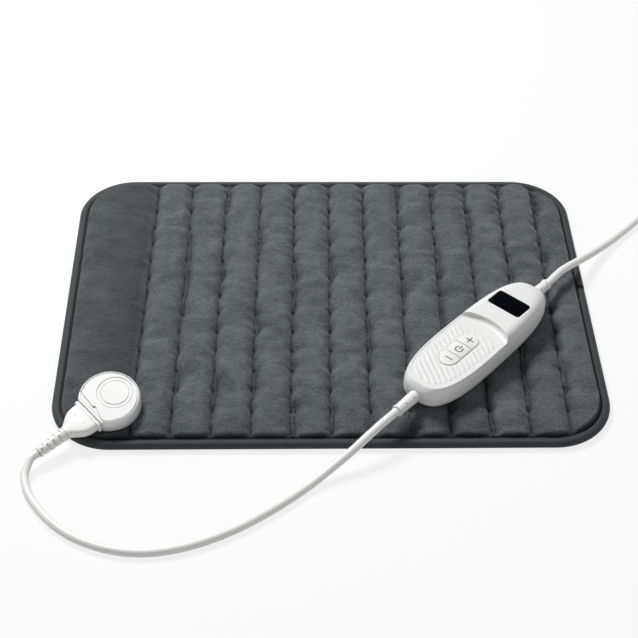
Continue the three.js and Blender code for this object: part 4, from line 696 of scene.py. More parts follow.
def quilt_height(x, y):
    """Height of the padded channels, and how much shade is painted at each point: in the sewn creases, the
    valleys, at the hem and over the plain panel.
    """
    seam, off_seam, between = near_seam(x, y)
    distance = np.abs(off_seam)
    ends = edge_distance(x, y)
    back = smooth_step(y, 60, 130)

    # On stretches of the seams a second crease runs beside the first, with a strip of cloth between them
    doubled = smooth_step(ripple(seam * 71.0, y, 34, 2.6), -0.15, 0.4) * (off_seam > 0) * (seam > 0)
    strip = doubled * (3.2 + 0.8 * ripple(seam * 29.0, y, 15, 4.9))
    has_strip = strip > STRIP_LEAST

    # Channels rise from the seams and from the hem, and droop towards the front hem
    pull = 0.5 * gathered(seam) * (1 - between) ** 3
    past_seam = np.maximum(distance - 0.4 - strip - pull, 0)
    swell = 9.6 + 1.6 * ripple(seam * 17.0 + 9 * np.sign(off_seam), y, 21, 8.3)
    seam_share = np.clip(past_seam / swell, 0, 1)
    end_share = np.clip(ends / (3.4 + 4.6 * back + 1.0 * ripple(x, y, 16, 9.1)), 0, 1)
    rise = (1 - np.minimum(np.hypot(1 - seam_share, 1 - end_share), 1) ** 2) ** 0.68
    droop = 1 - 0.42 * (1 - back) * np.exp(-(ends / 11) ** 2)
    plump = 0.97 + 0.05 * ripple(x, y, 40, 1.7, 1.6) + 0.04 * ripple(x, y, 13, 2.4)
    valley_z = SEAM_TOP - 0.4 + 0.5 * between
    height = valley_z + (SEAM_TOP + (CREST_TOP - SEAM_TOP) * plump - valley_z) * rise * droop

    # The strips stand up a little, and the cloth dips at the stitches and puckers along the seams
    on_strip = np.sin(pi * np.clip(distance / np.maximum(strip, 0.1), 0, 1)) * (distance < strip)
    tuck = np.exp(-(distance / 2.4) ** 2) * (1 - between) ** 4
    puckers = ripple(x, y, 3.4, 4.4, 0.6) * np.exp(-past_seam / 4) * smooth_step(distance, 0.3, 2)
    height += 1.1 * on_strip * has_strip - 0.35 * tuck
    height += end_share * (0.4 * puckers + 0.14 * ripple(x, y, 6, 6.6) + 0.08 * ripple(x, y, 2.4, 7.7))

    # Painted shade along the creases, in the valleys, at the hem and over the plain panel left of the first
    # seam, darkest beside that seam
    line = np.exp(-(distance / 1.7) ** 2)
    second = np.exp(-((distance - strip) / 1.1) ** 2) * has_strip
    broken = np.where(seam > 0, 0.78, 0.95) + 0.45 * ripple(seam * 11.0, y, 4, 6.1)
    crease_shade = np.maximum(line, second) * broken + 0.25 * tuck
    shaded = 0.36 * np.exp(-(past_seam / 2.8) ** 2) * (1 + 0.6 * ripple(x, y, 7, 3.3))
    hem_shade = np.exp(-(ends / (1.3 + 2 * back)) ** 2) + np.exp(-(ends / 3.5) ** 2 - (distance / 4) ** 2)
    panel = (seam == 0) * smooth_step(-off_seam, 0, 5) * (1 - 0.4 * smooth_step(-off_seam, 8, 46))
    dark = np.max([crease_shade, shaded, 0.95 * np.minimum(hem_shade, 1), PANEL_SHADE * panel], axis=0)
    return height, np.clip(dark, 0, 1)


def add_folds(x, y, height):
    """Soft folds across the channels, more of them towards the right."""
    chance = Random(11)
    for channel in range(SEAM_COUNT - 1):
        for _ in range(1 + channel // 3):
            ranges = ((-120, 125), (-7, 7), (-5, 5), (0.15, 0.3 + 0.04 * channel), (2.0, 3.8))
            middle_y, bow, slant, depth, width = (chance.uniform(*ends) for ends in ranges)
            middle_x = (seam_x(channel, middle_y) + seam_x(channel + 1, middle_y)) / 2
            a = (x - middle_x) / (SEAM_PITCH / 2)
            line = middle_y + bow * (1 - a ** 2) + slant * a
            within = np.clip(1 - a ** 2, 0, 1) ** 0.7
            dip = np.exp(-((y - line) / width) ** 2)
            lip = 0.45 * np.exp(-((y - line - 2.1 * width) / (1.3 * width)) ** 2)
            height = height + depth * (lip - dip) * within
    return height


def seated(x, y, height):
    """The padding is gathered up under the tilted socket, and pressed flat below it and its plug."""
    tilt, turn = radians(SOCKET_TILT), radians(SOCKET_TURN)
    seat_y = SOCKET_PLACE[1] - SEAT_TOP * sin(tilt)
    seat = SOCKET_PLACE[2] + SEAT_TOP * cos(tilt) + np.tan(tilt) * (y - seat_y) - SEAT_GAP
    dx, dy = x - SOCKET_PLACE[0], (y - seat_y) / cos(tilt)
    along = dx * cos(turn) + dy * sin(turn)
    aside = np.abs(dy * cos(turn) - dx * sin(turn))
    beyond = np.maximum(np.hypot(along - SOCKET_MIDDLE, aside) - SOCKET_HALF, along - SOCKET_FRONT)
    outside = beyond - SEAT_MARGIN
    mound = seat - MOUND_DEPTH * np.sqrt(np.clip(outside / MOUND_FLARE, 0, 1))
    height = np.where(outside < MOUND_FLARE, np.maximum(height, mound), height)
    height = np.where(outside < 0, seat, height)
    in_lane = (along > 0) & (along < LANE_LENGTH) & (aside < LANE_HALF)
    return np.where(in_lane, np.minimum(height, seat), height)


def grid_faces(columns, rows):
    corners = [i * rows + j for i in range(columns - 1) for j in range(rows - 1)]
    return [(a, a + rows, a + rows + 1, a + 1) for a in corners]


def slackened(x, y, height, held):
    """How far cloth cut a little too large for its seams moves when its filling presses it up."""
    start = np.stack([x, y, height], axis=2)
    sheet = piece("quilt_cloth", (start.reshape(-1, 3), grid_faces(*x.shape)), PAD_FRAME)
    sheet.vertex_groups.new(name="sewn").add(np.flatnonzero(held).tolist(), 1.0, "REPLACE")
    cloth = sheet.modifiers.new("cloth", "CLOTH").settings
    settings = {
        "vertex_group_mass": "sewn", "quality": 6, "tension_stiffness": 12, "compression_stiffness": 3,
        "shear_stiffness": 3, "bending_stiffness": 0.8, "air_damping": 4, "shrink_min": -CLOTH_EXCESS,
        "use_pressure": True, "uniform_pressure_force": CLOTH_PRESSURE,
    }
    for name, value in settings.items():
        setattr(cloth, name, value)
    cloth.effector_weights.gravity = 0
    for number in range(1, CLOTH_FRAMES + 1):
        bpy.context.scene.frame_set(number)
    solved = sheet.evaluated_get(bpy.context.evaluated_depsgraph_get())
    moved = np.array([vertex.co for vertex in solved.data.vertices]).reshape(start.shape) / MM
    bpy.data.objects.remove(sheet)
    bpy.context.scene.frame_set(1)
    return moved - start


def spread(coarse, old_columns, old_rows, columns, rows):
    """Values of a coarse grid at the places of a finer one, smoothed a little."""
    along = np.array([np.interp(columns, old_columns, line) for line in coarse.T]).T
    fine = np.array([np.interp(rows, old_rows, line) for line in along])
    for _ in range(5):
        fine[1:-1] = (fine[:-2] + 2 * fine[1:-1] + fine[2:]) / 4
        fine[:, 1:-1] = (fine[:, :-2] + 2 * fine[:, 1:-1] + fine[:, 2:]) / 4
    return fine


def cloth_shift(columns, rows):
    """Movement of the cloth at each point of the fine grid, none of it further than the limit."""
    coarse_columns, coarse_rows = quilt_columns(14, 10), quilt_rows(130)
    x, y = quilt_plan(coarse_columns, coarse_rows)
    height, _ = quilt_height(x, y)
    _, off_seam, _ = near_seam(x, y)
    held = (np.abs(off_seam) < 0.9) | (edge_distance(x, y) < 1.5)
    shift = np.clip(slackened(x, y, height, held), -CLOTH_LIMIT, CLOTH_LIMIT)
    places = (coarse_columns, coarse_rows, columns, rows)
    return np.stack([spread(shift[:, :, k], *places) for k in range(3)])


def quilt_mesh(x, y, height):
    """Closed skin: the quilted face, a straight edge and a level underside."""
    low = bottom_of("top_cover")
    points = list(zip(x.flat, y.flat, height.flat))
    faces = grid_faces(*x.shape)
    numbers = np.arange(x.size).reshape(x.shape)
    sides = [numbers[:, 0], numbers[-1, 1:], numbers[-2::-1, -1], numbers[0, -2:0:-1]]
    rim = np.concatenate(sides).tolist()
    base = len(points)
    points += [(points[k][0], points[k][1], low) for k in rim]
    for k, top in enumerate(rim):
        following = (k + 1) % len(rim)
        faces.append((top, base + k, base + following, rim[following]))
    faces.append(tuple(base + k for k in reversed(range(len(rim)))))
    return points, faces, len(rim)


def add_quilt():
    columns, rows = quilt_columns(26, 18), quilt_rows(230)
    x, y = quilt_plan(columns, rows)
    height, dark = quilt_height(x, y)
    shift_x, shift_y, shift_z = cloth_shift(columns, rows)
    height = np.minimum(add_folds(x, y, height) + shift_z, CREST_TOP + 0.2)
    x, y = x + shift_x, y + shift_y
    points, faces, hidden = quilt_mesh(x, y, seated(x, y, height))
    # Painted shade for the fleece: as computed on the quilted face, and full shade on the straight edge and
    # underside
    quilt = add_piece(
        "quilted_top", (points, faces), PAD_FRAME, "fleece", ["top_cover"], sharp_angle=80,
        valley=np.concatenate([dark.ravel(), np.ones(hidden)]),
    )


add_quilt()


# Binding round the edge

def pad_outline(inset):
    """Plan points of the pad's edge drawn in, from the lap on the right edge round and back to it."""
    half_x, half_y = PAD_LENGTH / 2 - inset, PAD_WIDTH / 2 - inset
    sides = [
        ((half_x, LAP_Y), (half_x, CORNER_Y), 40), ((CORNER_X, half_y), (-CORNER_X, half_y), 100),
        ((-half_x, CORNER_Y), (-half_x, -CORNER_Y), 70), ((-CORNER_X, -half_y), (CORNER_X, -half_y), 100),
    ]
    corners = [(CORNER_X, CORNER_Y), (-CORNER_X, CORNER_Y), (-CORNER_X, -CORNER_Y), (CORNER_X, -CORNER_Y)]
    line = []
    for k, ((start, end, steps), corner) in enumerate(zip(sides, corners)):
        line += [*np.linspace(start, end, steps, endpoint=False)]
        line += arc(*corner, PAD_CORNER - inset, 90 * k, 90 * k + 90, 24)[:-1]
    return line + [*np.linspace((half_x, -CORNER_Y), (half_x, LAP_Y - LAP_GAP), 41)]


def binding_section():
    """Rolled tape from its inner edge on top, over the roll and back under to its inner edge below."""
    edge, roll = BINDING_WIDTH, BINDING_ROLL
    outer = [(roll - roll * cos(radians(a)), roll + roll * sin(radians(a))) for a in range(90, -91, -12)]
    flange = [(edge, 5), (edge, 5.5), (edge - 0.2, 5.6), (6.6, 5.5)]
    upper = [(5.95, 5.45), (5.7, 5.6), (5.4, 5.95), (4.95, 6.22), (4.2, 6.36)]
    lower = [(5, 0), (edge - 0.5, 0), (edge, 0.5), (edge, 1.7)]
    inner = [(3.4, 2), (2.8, 2.6), (2.6, 3.2), (2.8, 4.2), (3.4, 4.9)]
    return flange + upper + outer + lower + inner


def add_binding():
    section = binding_section()
    outlines = [pad_outline(inset) for inset, _ in section]
    steps = np.linalg.norm(np.diff(np.array(outlines[0]), axis=0), axis=1)
    runs = np.concatenate([[0], np.cumsum(steps)])
    rings = []
    for k, run in enumerate(runs):
        overlap = max(0.0, 1 - run / LAP_LENGTH)
        wave = 0.22 * noise.noise(Vector((run / 19, 0, 2.2)))
        ring = []
        for (_, z), outline in zip(section, outlines):
            swell = 1 + 0.16 * overlap * (z > 3) + 0.06 * wave * (z > 5)
            ring.append((*outline[k], z * swell))
        rings.append(ring)
    # Painted shade: the groove value is 1 on the tape's inner flange down in the groove beside the roll, and
    # on both end rings of the lap for the shadow line under the overlapping end
    groove_shade = np.tile([float(inset > GROOVE_INSET) for inset, _ in section], (len(runs), 1))
    groove_shade[[0, -1]] = 1
    add_piece(
        "edge_binding_tape", loft(rings, closed=True), PAD_FRAME, "binding", ["edge_binding"],
        sharp_angle=60, along=np.repeat(runs, len(section)), groove=groove_shade.ravel(),
    )


add_binding()


# Plain cloth under the pad

def add_underside():
    length, width = PAD_LENGTH - 2 * UNDERSIDE_INSET, PAD_WIDTH - 2 * UNDERSIDE_INSET
    corner = PAD_CORNER - UNDERSIDE_INSET
    edge = rounded(length, width, corner, 16)
    soft = rounded(length - 1, width - 1, corner - 0.5, 16)
    low, high = (point.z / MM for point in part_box("bottom_cover"))
    low, high = low + 0.3, high - 0.2
    ease = 0.3
    cloth = loft([raised(soft, low), raised(edge, low + ease), raised(edge, high - ease), raised(soft, high)])
    end, half, depth = 129, 0.6, 0.35
    grooves = []
    for k in range(SEAM_COUNT):
        foot, head = seam_x(k, -end), seam_x(k, end)
        outline = [(foot - half, -end), (foot + half, -end), (head + half, end), (head - half, end)]
        grooves.append(prism(outline, low - 1, low + depth))
    underside = add_piece(
        "underside_cloth", carved(cloth, *grooves), PAD_FRAME, "backing_fabric", ["bottom_cover"]
    )


add_underside()


# Socket on the pad

def socket_outline(inset, steps=16):
    """Round plan whose front is cut straight for the plug, with rounded corners there."""
    ahead = SOCKET_FRONT - SOCKET_CORNER
    aside = sqrt((SOCKET_HALF - SOCKET_CORNER) ** 2 - (ahead - SOCKET_MIDDLE) ** 2)
    sweep = degrees(atan2(aside, ahead - SOCKET_MIDDLE))
    return (
        arc(ahead, -aside, SOCKET_CORNER - inset, -sweep, 0, steps)
        + arc(ahead, aside, SOCKET_CORNER - inset, 0, sweep, steps)
        + arc(SOCKET_MIDDLE, 0, SOCKET_HALF - inset, sweep, 360 - sweep, 6 * steps)[1:-1]
    )


def mouth():
    half, half_height, near, far = 12.9, 3.5, 6, SOCKET_FRONT + 1
    outline = [(near, -half), (far, -half), (far, half), (near, half)]
    return prism(outline, PLUG_AXIS_Z - half_height, PLUG_AXIS_Z + half_height)


def lid_height(inset):
    low, crown, draw, power = 13.05, 18.5, 1.8, 2.6
    share = min(inset / draw, 1)
    return low + (crown - low) * (1 - (1 - share) ** power) ** (1 / power)


def add_socket():
    """Lid with a groove along its edge, a sunk ring and a lower front, and the base below it."""
    groove_floor, front_floor, front_at = 17.5, 17.6, 17
    insets = [0, 0.02, 0.07, 0.16, 0.3, 0.5, 0.8, 1.2, 1.6]
    rings = [raised(socket_outline(inset), lid_height(inset)) for inset in insets]
    rings += [raised(socket_outline(inset), groove_floor) for inset in (1.65, 2.45)]
    rings += [raised(socket_outline(inset), lid_height(inset)) for inset in (2.5, 3)]
    half_ring = [(0, 18.9), (0, 18.45), (0.1, 18.0), (0.45, 18.0), (0.55, 18.3)]
    ring = [(9.7 + x, z) for x, z in half_ring] + [(12.9 - x, z) for x, z in reversed(half_ring)]
    trench = loft([raised(circle(radius, 96), z) for radius, z in ring], closed=True)
    side, far = SOCKET_HALF + 1, 32
    wave = [(front_at + 2 * (k / 12) ** 2, side * (k / 12 - 1)) for k in range(12)]
    wave += [(front_at + 5 * sin(pi / 2 * k / 12), side * k / 12) for k in range(13)]
    front = prism([*wave, (far, side), (far, -side)][::-1], front_floor, 19)
    room = prism(socket_outline(SOCKET_WALL), 12, 16.6)
    lid = carved(loft(rings), front, trench, room, mouth())
    add_piece("socket_lid_shell", lid, SOCKET_FRAME, "white_shell", ["socket_lid"])

    levels = [(0.6, 7.3), (0.25, 7.45), (0.05, 7.9), (0, 8.4), (0, 12.6), (0.12, 12.75)]
    shell = loft([raised(socket_outline(inset), z) for inset, z in levels])
    room = prism(socket_outline(SOCKET_WALL), 9.2, 14)
    base = carved(shell, room, mouth())
    add_piece("socket_base_shell", base, SOCKET_FRAME, "white_shell", ["socket_base"])


add_socket()


# Plug on the pad's cord

def plug_ring(along, width, height, corner):
    return [(along, y, z) for y, z in rounded(width, height, corner, 8, 0, PLUG_AXIS_Z)]


def grip_ring(share):
    """Section of the grip that far along it, from its wide end at the flange to the narrow one."""
    start, length, wide, narrow, height = 25.2, 19.5, 24.5, 9.4, 8.4
    drawn = (1 + cos(pi * share ** 1.8)) / 2
    width = narrow + (wide - narrow) * drawn
    return plug_ring(start + length * share, width, height, 3.2 + 0.8 * share)


def add_pad_plug():
    """Plug with its nose, flange and waisted grip, and the slotted strain relief behind it."""
    nose_rings = [(8.9, 24.4, 5.6, 1.2), (9.3, 25.2, 6.4, 1.6), (23.5, 25.2, 6.4, 1.6)]
    flange_rings = [(23.1, 27.4, 8.4, 2.7), (23.4, 28, 9, 3), (25, 28, 9, 3), (25.4, 27.2, 8.2, 2.6)]
    nose, flange = (loft([plug_ring(*ring) for ring in rings]) for rings in (nose_rings, flange_rings))
    grip = loft([grip_ring(k / 40) for k in range(41)])
    bore, contact_pitch = 1.4, 7.5
    contacts = (0, -contact_pitch, contact_pitch)
    bores = [turned([(bore, 8), (bore, 20)], 24, PLUG_AXIS_Z, y) for y in contacts]
    dots = [ball(32, y, PLUG_AXIS_Z + 5, 1.1) for y in (-4.4, 4.4)]
    shape = carved(carved(grip, flange, nose, operation="UNION"), *bores, *dots)
    body = add_piece("pad_plug_moulding", shape, SOCKET_FRAME, "vinyl", ["pad_plug_body"], "pad_plug")

    profile = [(4.2, 44.9), (4.7, 45.4), (4.6, 50)]
    profile += [(4.6 - 0.7 * k / 6, 50 + 17.1 * k / 6) for k in range(1, 7)]
    sleeve = turned([*profile, (3.6, PLUG_TIP)], 48, PLUG_AXIS_Z)
    first, pitch, width, core = 46.8, 2.49, 1.4, 2.4
    slots = []
    for k in range(8):
        x = first + pitch * k
        end = x + width
        low, high = (0.6, 9) if k % 2 else (-9, -0.6)
        slot = prism([(x, low), (end, low), (end, high), (x, high)], PLUG_AXIS_Z - 8, PLUG_AXIS_Z + 8)
        slots.append(carved(slot, turned([(core, x - 1), (core, end + 1)], 32, PLUG_AXIS_Z)))
    relief = carved(sleeve, *slots)
    boot = add_piece("pad_plug_relief", relief, SOCKET_FRAME, "vinyl", ["pad_plug_boot"], "pad_plug")
    return [body, boot]


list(add_pad_plug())


# Controller case

def case_outline(inset, end_inset, steps=160):
    """Blunt oval, a little narrower at the display's end."""
    power, taper = 2 / 3, 1.3
    points = []
    for k in range(steps):
        angle = 2 * pi * k / steps
        cx, cy = (np.sign(v) * abs(v) ** power for v in (cos(angle), sin(angle)))
        half_width = CASE_WIDTH / 2 - taper * cx - inset
        points.append((CASE_MIDDLE + cx * (CASE_LENGTH / 2 - end_inset), cy * half_width))
    return points


def case_half(low, high, drawn_in, wall=0, levels=22, groove=0):
    """Rings from the parting line, with a groove's half at it, to the rounded top or bottom."""
    rings = [raised(case_outline(wall + groove, wall + groove), low)] if groove else []
    low += groove if high > low else -groove
    power = 2 / 2.6
    for k in range(levels + 1):
        angle = pi / 2 * k / levels
        drawn = drawn_in * (1 - max(cos(angle), 0) ** power)
        z = low + (high - low) * sin(angle) ** power
        rings.append(raised(case_outline(wall + drawn, wall + END_DRAW * drawn), z))
    return loft(rings if high > low else rings[::-1])


def scoop(wall=0):
    """Room above the key face, ending in a hollow step up to the display, larger by a wall if asked."""
    step_at, step_bow, fillet, top = 29, 7.5, 3.6, 40
    half = CASE_WIDTH / 2 + 1
    foot = [(-90, half), (-90, -half)]
    shares = np.linspace(-1, 1, 49)
    edge = [(step_at + step_bow * (1 - share ** 2) + wall, half * share) for share in shares]
    rings = []
    for k in range(11):
        angle = pi / 2 * k / 10
        drawn = [(x - fillet * (1 - sin(angle)), y) for x, y in edge]
        rings.append(raised(foot + drawn, KEY_FACE - wall + fillet * (1 - cos(angle))))
    rings.append(raised(foot + edge, top))
    return loft(rings)


def round_key_row(margin, steps):
    """Outline round the whole row of keys, that far out from it."""
    least_edge = 0.02
    length, width = KEY_ROW_LENGTH + 2 * margin, KEY_ROW_WIDTH + 2 * margin
    return rounded(length, width, (width - least_edge) / 2, steps)


def add_controller_shells():
    """Upper shell with its key face, rim and openings, and the lower one with its screw wells."""
    hole_radius, well_radius = 4.8, 3.4
    rim_inset, rim_width, rim_end = 1.43, 1.3, 5.0
    split = CASE_SPLIT + GAP / 2
    outer = case_half(split, CASE_CROWN, 8.6, groove=PARTING_GROOVE)
    room = carved(case_half(split - 1, CASE_CROWN - CASE_WALL, 7, CASE_WALL, 10), scoop(CASE_WALL))
    rim_outside = prism(case_outline(rim_inset, END_DRAW * rim_inset), KEY_FACE - 1, KEY_FACE + 0.2)
    rim_inside = prism(case_outline(rim_inset + rim_width, rim_end), KEY_FACE - 2, KEY_FACE + 1)
    cut = carved(scoop(), carved(rim_outside, rim_inside))
    keys = prism(round_key_row(GAP, 20), 10, 30)
    opening = [size + 2 * GAP for size in (SCREEN_LENGTH, SCREEN_WIDTH)]
    window = prism(rounded(*opening, SCREEN_CORNER + GAP, 10, SCREEN_AT), 20, 30)
    ends = ((FRONT_TIP, -40), (85, REAR_TIP))
    holes = [turned([(hole_radius, start), (hole_radius, stop)], 48, BOOT_AXIS) for start, stop in ends]
    upper = carved(carved(outer, room), cut, keys, window, *holes)

    split = CASE_SPLIT - GAP / 2
    outer = case_half(split, 0, 7, groove=PARTING_GROOVE)
    room = case_half(split + 1, CASE_WALL, 6, CASE_WALL, 10)
    wells = []
    for k in range(1, 5):
        low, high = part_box(f"case_screw_{k}")
        middle = CONTROLLER_FRAME.inverted() @ ((low + high) / 2)
        wells.append(prism(circle(well_radius, 32, middle.x, middle.y), -1, 5))
    lower = carved(carved(outer, room), *wells, *holes)

    shells = (("controller_upper", upper, "controller_top_shell"),
              ("controller_lower", lower, "controller_bottom_shell"))
    for name, shell, node in shells:
        add_piece(name, shell, CONTROLLER_FRAME, "white_shell", [node], sharp_angle=28)


add_controller_shells()


# Display pane

def add_display():
    rings = []
    for inset, z in ((0, 21), (0, 23.75), (0.1, 23.92), (0.3, 24)):
        pane = [size - 2 * inset for size in (SCREEN_LENGTH, SCREEN_WIDTH)]
        rings.append(raised(rounded(*pane, SCREEN_CORNER - inset, 12, SCREEN_AT), z))
    add_piece("display_pane", loft(rings), CONTROLLER_FRAME, "screen", ["display_window"])


add_display()


# Keys and their printed symbols

def in_from(outline, inset):
    """Outline drawn in by moving each edge inwards."""
    points = np.array(outline)
    edges = points - np.roll(points, 1, axis=0)
    ins = np.stack([-edges[:, 1], edges[:, 0]], axis=1) / np.linalg.norm(edges, axis=1)[:, None]
    next_ins = np.roll(ins, -1, axis=0)
    share = inset / np.maximum(0.2, 1 + np.sum(ins * next_ins, axis=1))
    return points + (ins + next_ins) * share[:, None]


def key_outline(kind):
    length, corner, gap = 12.2, 0.35, 0.4
    half = KEY_ROW_WIDTH / 2
    if kind == "power":
        return rounded(length, KEY_ROW_WIDTH, corner, 4)
    x, y = length / 2 + gap + corner, half - corner
    end = arc(KEY_ROW_LENGTH / 2 - half, 0, half, -90, 90, 40)
    outline = end + arc(x, y, corner, 90, 180, 4) + arc(x, -y, corner, 180, 270, 4)
    if kind == "minus":
        outline = [(-x, y) for x, y in reversed(outline)]
    return outline


def printed(outline):
    return prism(outline, KEY_TOP - 0.1, KEY_TOP + 0.05)


def bar(x, y, length, width):
    return printed(rounded(length, width, min(length, width) * 0.2, 4, x, y))


def power_ring():
    outer, inner, gap = 3.1, 2.25, 34
    return printed(arc(0, 0, outer, gap, 360 - gap, 48) + arc(0, 0, inner, 360 - gap, gap, 48))


def joined(*shapes):
    points, faces = [], []
    for shape_points, shape_faces in shapes:
        base = len(points)
        points += list(shape_points)
        faces += [tuple(base + k for k in face) for face in shape_faces]
    return points, faces


def add_keys():
    long, thin, minus_at, plus_at = 6.3, 0.85, -12.1, 12.7
    stroke_at, stroke_length = 2.1, 3.4
    sunk, edge_depth = 2.2, 0.45
    symbols = {
        "minus": bar(minus_at, 0, thin, long),
        "power": joined(power_ring(), bar(stroke_at, 0, stroke_length, thin)),
        "plus": carved(bar(plus_at, 0, thin, long), bar(plus_at, 0, long, thin), operation="UNION"),
    }
    rounding = [(0.08, 0.2), (0.22, 0.06), (0.45, 0)]
    for kind, symbol in symbols.items():
        outline = key_outline(kind)
        rings = [raised(outline, z) for z in (KEY_FACE - sunk, KEY_TOP - edge_depth)]
        rings += [raised(in_from(outline, inset), KEY_TOP - down) for inset, down in rounding]
        body = f"{kind}_key"
        add_piece(f"{kind}_key_cap", loft(rings), CONTROLLER_FRAME, "key", [body], body)
        add_piece(f"{kind}_symbol", symbol, CONTROLLER_FRAME, "key", (), body, paint=INK)


add_keys()


# Raised ribs on the key face

def inside(outline, x, y):
    crossed = False
    for (ax, ay), (bx, by) in zip(outline, outline[1:] + outline[:1]):
        if (ay > y) != (by > y) and x < ax + (y - ay) * (bx - ax) / (by - ay):
            crossed = not crossed
    return crossed


def add_ribs():
    """Slanting ridges over the key face, left out round the keys and before the step."""
    slope = radians(57)
    pitch, width, height = 4, 2.8, 0.26
    last_x, step_length, reach, least_steps = 22, 0.4, 160, 5
    field = case_outline(5.35, 8.32)
    round_keys = round_key_row(1, 16)
    way = Vector((cos(slope), sin(slope)))
    aside = Vector((-way.y, way.x))

    def is_clear(spot):
        return inside(field, *spot) and not inside(round_keys, *spot) and spot.x < last_x

    shapes = []
    for k in range(-20, 21):
        spots = [aside * (k * pitch) + way * (step * step_length) for step in range(-reach, reach + 1)]
        for clear, run in groupby(spots, is_clear):
            run = list(run)
            if clear and len(run) >= least_steps:
                shapes.append(rib(run, aside, width, height))
    add_piece("key_face_ribs", joined(*shapes), CONTROLLER_FRAME, "white_shell", sharp_angle=50)


def rib(run, aside, width, height):
    """One ridge with a rounded top and tapered ends."""
    rings = []
    for k, spot in enumerate(run):
        taper = min(1, (min(k, len(run) - 1 - k) + 0.4) / 3)
        ring = []
        for a in range(0, 181, 30):
            across_rib = cos(radians(a)) * width / 2 * (0.4 + 0.6 * taper)
            ring.append((*(spot + aside * across_rib), KEY_FACE - 0.05 + height * taper * sin(radians(a))))
        rings.append(ring)
    return loft(rings)


add_ribs()


# Strain reliefs of the controller

def add_boots():
    for name, wall_end, tip, dots in (("front", -50, FRONT_TIP, (4, 12)), ("rear", 96, REAR_TIP, (4,))):
        way = 1 if tip > wall_end else -1
        length = abs(tip - wall_end)
        collar = [(3.9, 2.6), (3.8, 2.4), (4.2, 2.3), (4.3, 2), (4.3, 0.3), (4.05, 0)]
        profile = [(4.5, -4), (4.5, 2.6)] + [(radius, length - x) for radius, x in collar]
        profile = [(radius, wall_end + way * x) for radius, x in profile][::way]
        pricks = []
        for x, side, away in product(dots, (-38, 38), (4.4, 3.8, 3.2)):
            turn = radians(side)
            pricks.append(ball(wall_end + way * x, away * sin(turn), BOOT_AXIS + away * cos(turn), 0.7))
        boot = carved(turned(profile, 56, BOOT_AXIS), *pricks)
        add_piece(f"{name}_relief", boot, CONTROLLER_FRAME, "vinyl", [f"{name}_boot"])


add_boots()


# Mains plug and the tie round the coil

def add_mains_plug():
    way = coil_way(LAST_TURN)
    matrix = placed(tail_end.x, tail_end.y, TAIL_Z, degrees(atan2(way.y, way.x)))
    first_slot, slot_pitch, core = 4, 3.2, 3.4
    grip_start, grip_length, pin_aside = 21.7, 34.6, 9.3
    relief = [(3.6, 0), (4, 0.5), (4.05, 2)]
    for k in range(5):
        x = first_slot + slot_pitch * k
        relief += [(4.1 + 0.08 * k, x), (core, x + 0.3), (core, x + 1.4), (4.15 + 0.08 * k, x + 1.7)]
    relief += [(4.5, 21), (4.5, 24)]
    rings = []
    for k in range(31):
        swell = sin(pi / 2 * k / 30) ** 1.4
        outline = rounded(9 + 26.3 * swell, 9 + 4.7 * sqrt(swell), min(5, 4.4 + 0.6 * swell), 10)
        rings.append(across(outline, grip_start + grip_length * k / 30))
    rings.append(across(rounded(34.3, 12.7, 4.5, 10), 56.9))
    shape = carved(loft(rings), turned(relief, 48), operation="UNION")
    pieces = [add_piece("mains_plug_moulding", shape, matrix, "vinyl", ["mains_plug_body"])]
    profile = [(2, 54), (2, 74.6), (1.75, 75.4), (1.1, 75.9)]
    for k, side in ((1, -pin_aside), (2, pin_aside)):
        pin = turned(profile, 32, 0, side)
        pieces.append(add_piece(f"mains_pin_{k}", pin, matrix, "brass", [f"mains_plug_pin_{k}"]))
    return pieces


def add_tie():
    inner, outer, low, high = 21.3, 49.8, 1.0, 14.1
    middle, height = (inner + outer) / 2, (low + high) / 2
    length, width = outer - inner - 2, high - low - 2
    section = [(0.5, -4.5), (0, -4.2), (0, 4.2), (0.5, 4.5), (1, 4.2), (1, -4.2)]
    rings = []
    for grow, side in reversed(section):
        outline = rounded(length + 2 * grow, width + 2 * grow, 2 + grow, 8, middle, height)
        rings.append([(x, side, z) for x, z in outline])
    return add_piece("coil_strap", loft(rings, closed=True), placed(*COIL_PLACE, 0, 45), "tie", ["coil_tie"])


carried = [*add_mains_plug(), add_tie()]


# Near-black thread at the stitches of the seams, which also stands for the shade in the stitch holes

def add_stitches():
    chance = Random(5)
    shapes = []
    for seam in range(SEAM_COUNT):
        for row in range(STITCH_ROWS):
            y = FIRST_STITCH_Y + row * STITCH_PITCH + chance.uniform(-0.7, 0.7)
            for side in (-1, 1):
                x = seam_x(seam, y) + side + chance.uniform(-0.3, 0.3)
                shapes.append(ball(x, y, SEAM_TOP - 0.2, 0.55))
    add_piece("seam_stitches", joined(*shapes), PAD_FRAME, "fleece", sharp_angle=60, paint=STITCH_THREAD_AND_SHADE)


add_stitches()


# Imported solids, of which the inner ones show their own shape

def paint_nodes():
    for part in frame["record"]["subparts"]:
        materials = frame["nodes"][part["node"]].data.materials
        materials.clear()
        materials.append(PAINTS[part["material_slot"]])


paint_nodes()


# Floor, light and background, in metres and watts

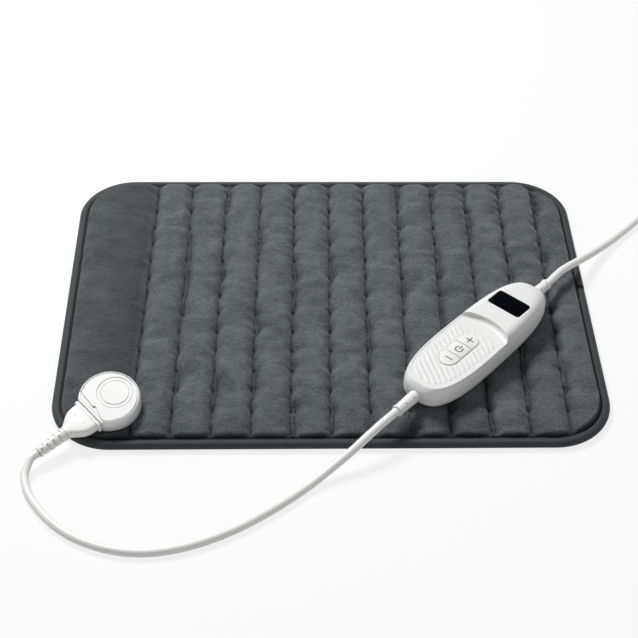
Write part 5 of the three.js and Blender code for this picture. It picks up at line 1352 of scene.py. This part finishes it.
def add_stage():
    reach = 6
    corners = [(-reach, -reach, 0), (reach, -reach, 0), (reach, reach, 0), (-reach, reach, 0)]
    ground = piece("floor", (corners, [(0, 1, 2, 3)]), Matrix())
    ground.location.z = cad_low.z - 0.0002
    paint = Paint("floor", Base_Color=grey(0.9), Roughness=0.9)
    seen = paint.node("LightPath").outputs["Is Camera Ray"]
    mix = paint.node("MixShader", Fac=paint.math("MULTIPLY", seen, 0.8))
    paint.join(paint.shader.outputs[0], mix.inputs[1])
    paint.join(paint.node("Emission").outputs[0], mix.inputs[2])
    paint.join(mix.outputs[0], paint.tree.nodes["Material Output"].inputs["Surface"])
    ground.data.materials.append(paint.material)


def add_lamps():
    lamps = [("key", (-0.5, 0.68, 1.22), 0.4, 21.5), ("fill", (0.6, -0.9, 1.4), 1.2, 2.8)]
    for name, place, size, power in lamps:
        data = bpy.data.lights.new(name, "AREA")
        data.energy = power
        data.size = size
        lamp = linked(name, data)
        lamp.location = place
        lamp.rotation_euler = (-Vector(place)).to_track_quat("-Z", "Y").to_euler()


def add_background():
    """White to the camera, dimmer as light on the object."""
    world = bpy.data.worlds.new("studio")
    bpy.context.scene.world = world
    world.use_nodes = True
    tree = world.node_tree
    back = tree.nodes["Background"]
    ray = tree.nodes.new("ShaderNodeLightPath")
    strength = tree.nodes.new("ShaderNodeMapRange")
    strength.inputs["To Min"].default_value = 0.21
    strength.inputs["To Max"].default_value = 1.0
    tree.links.new(ray.outputs["Is Camera Ray"], strength.inputs["Value"])
    tree.links.new(strength.outputs["Result"], back.inputs["Strength"])
    back.inputs["Color"].default_value = (1, 1, 1, 1)


add_stage()
add_lamps()
add_background()
bpy.context.scene.view_settings.view_transform = "Standard"


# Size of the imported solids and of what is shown

def shown_box():
    low, high = Vector((9, 9, 9)), Vector((-9, -9, -9))
    graph = bpy.context.evaluated_depsgraph_get()
    for obj in bpy.context.scene.objects:
        if obj.type == "MESH" and not obj.hide_render and obj.name != "floor":
            mesh = obj.evaluated_get(graph).data
            for vertex in mesh.vertices:
                spot = obj.matrix_world @ vertex.co
                low = Vector(map(min, low, spot))
                high = Vector(map(max, high, spot))
    return low, high


bpy.context.view_layer.update()
shown_low, shown_high = shown_box()
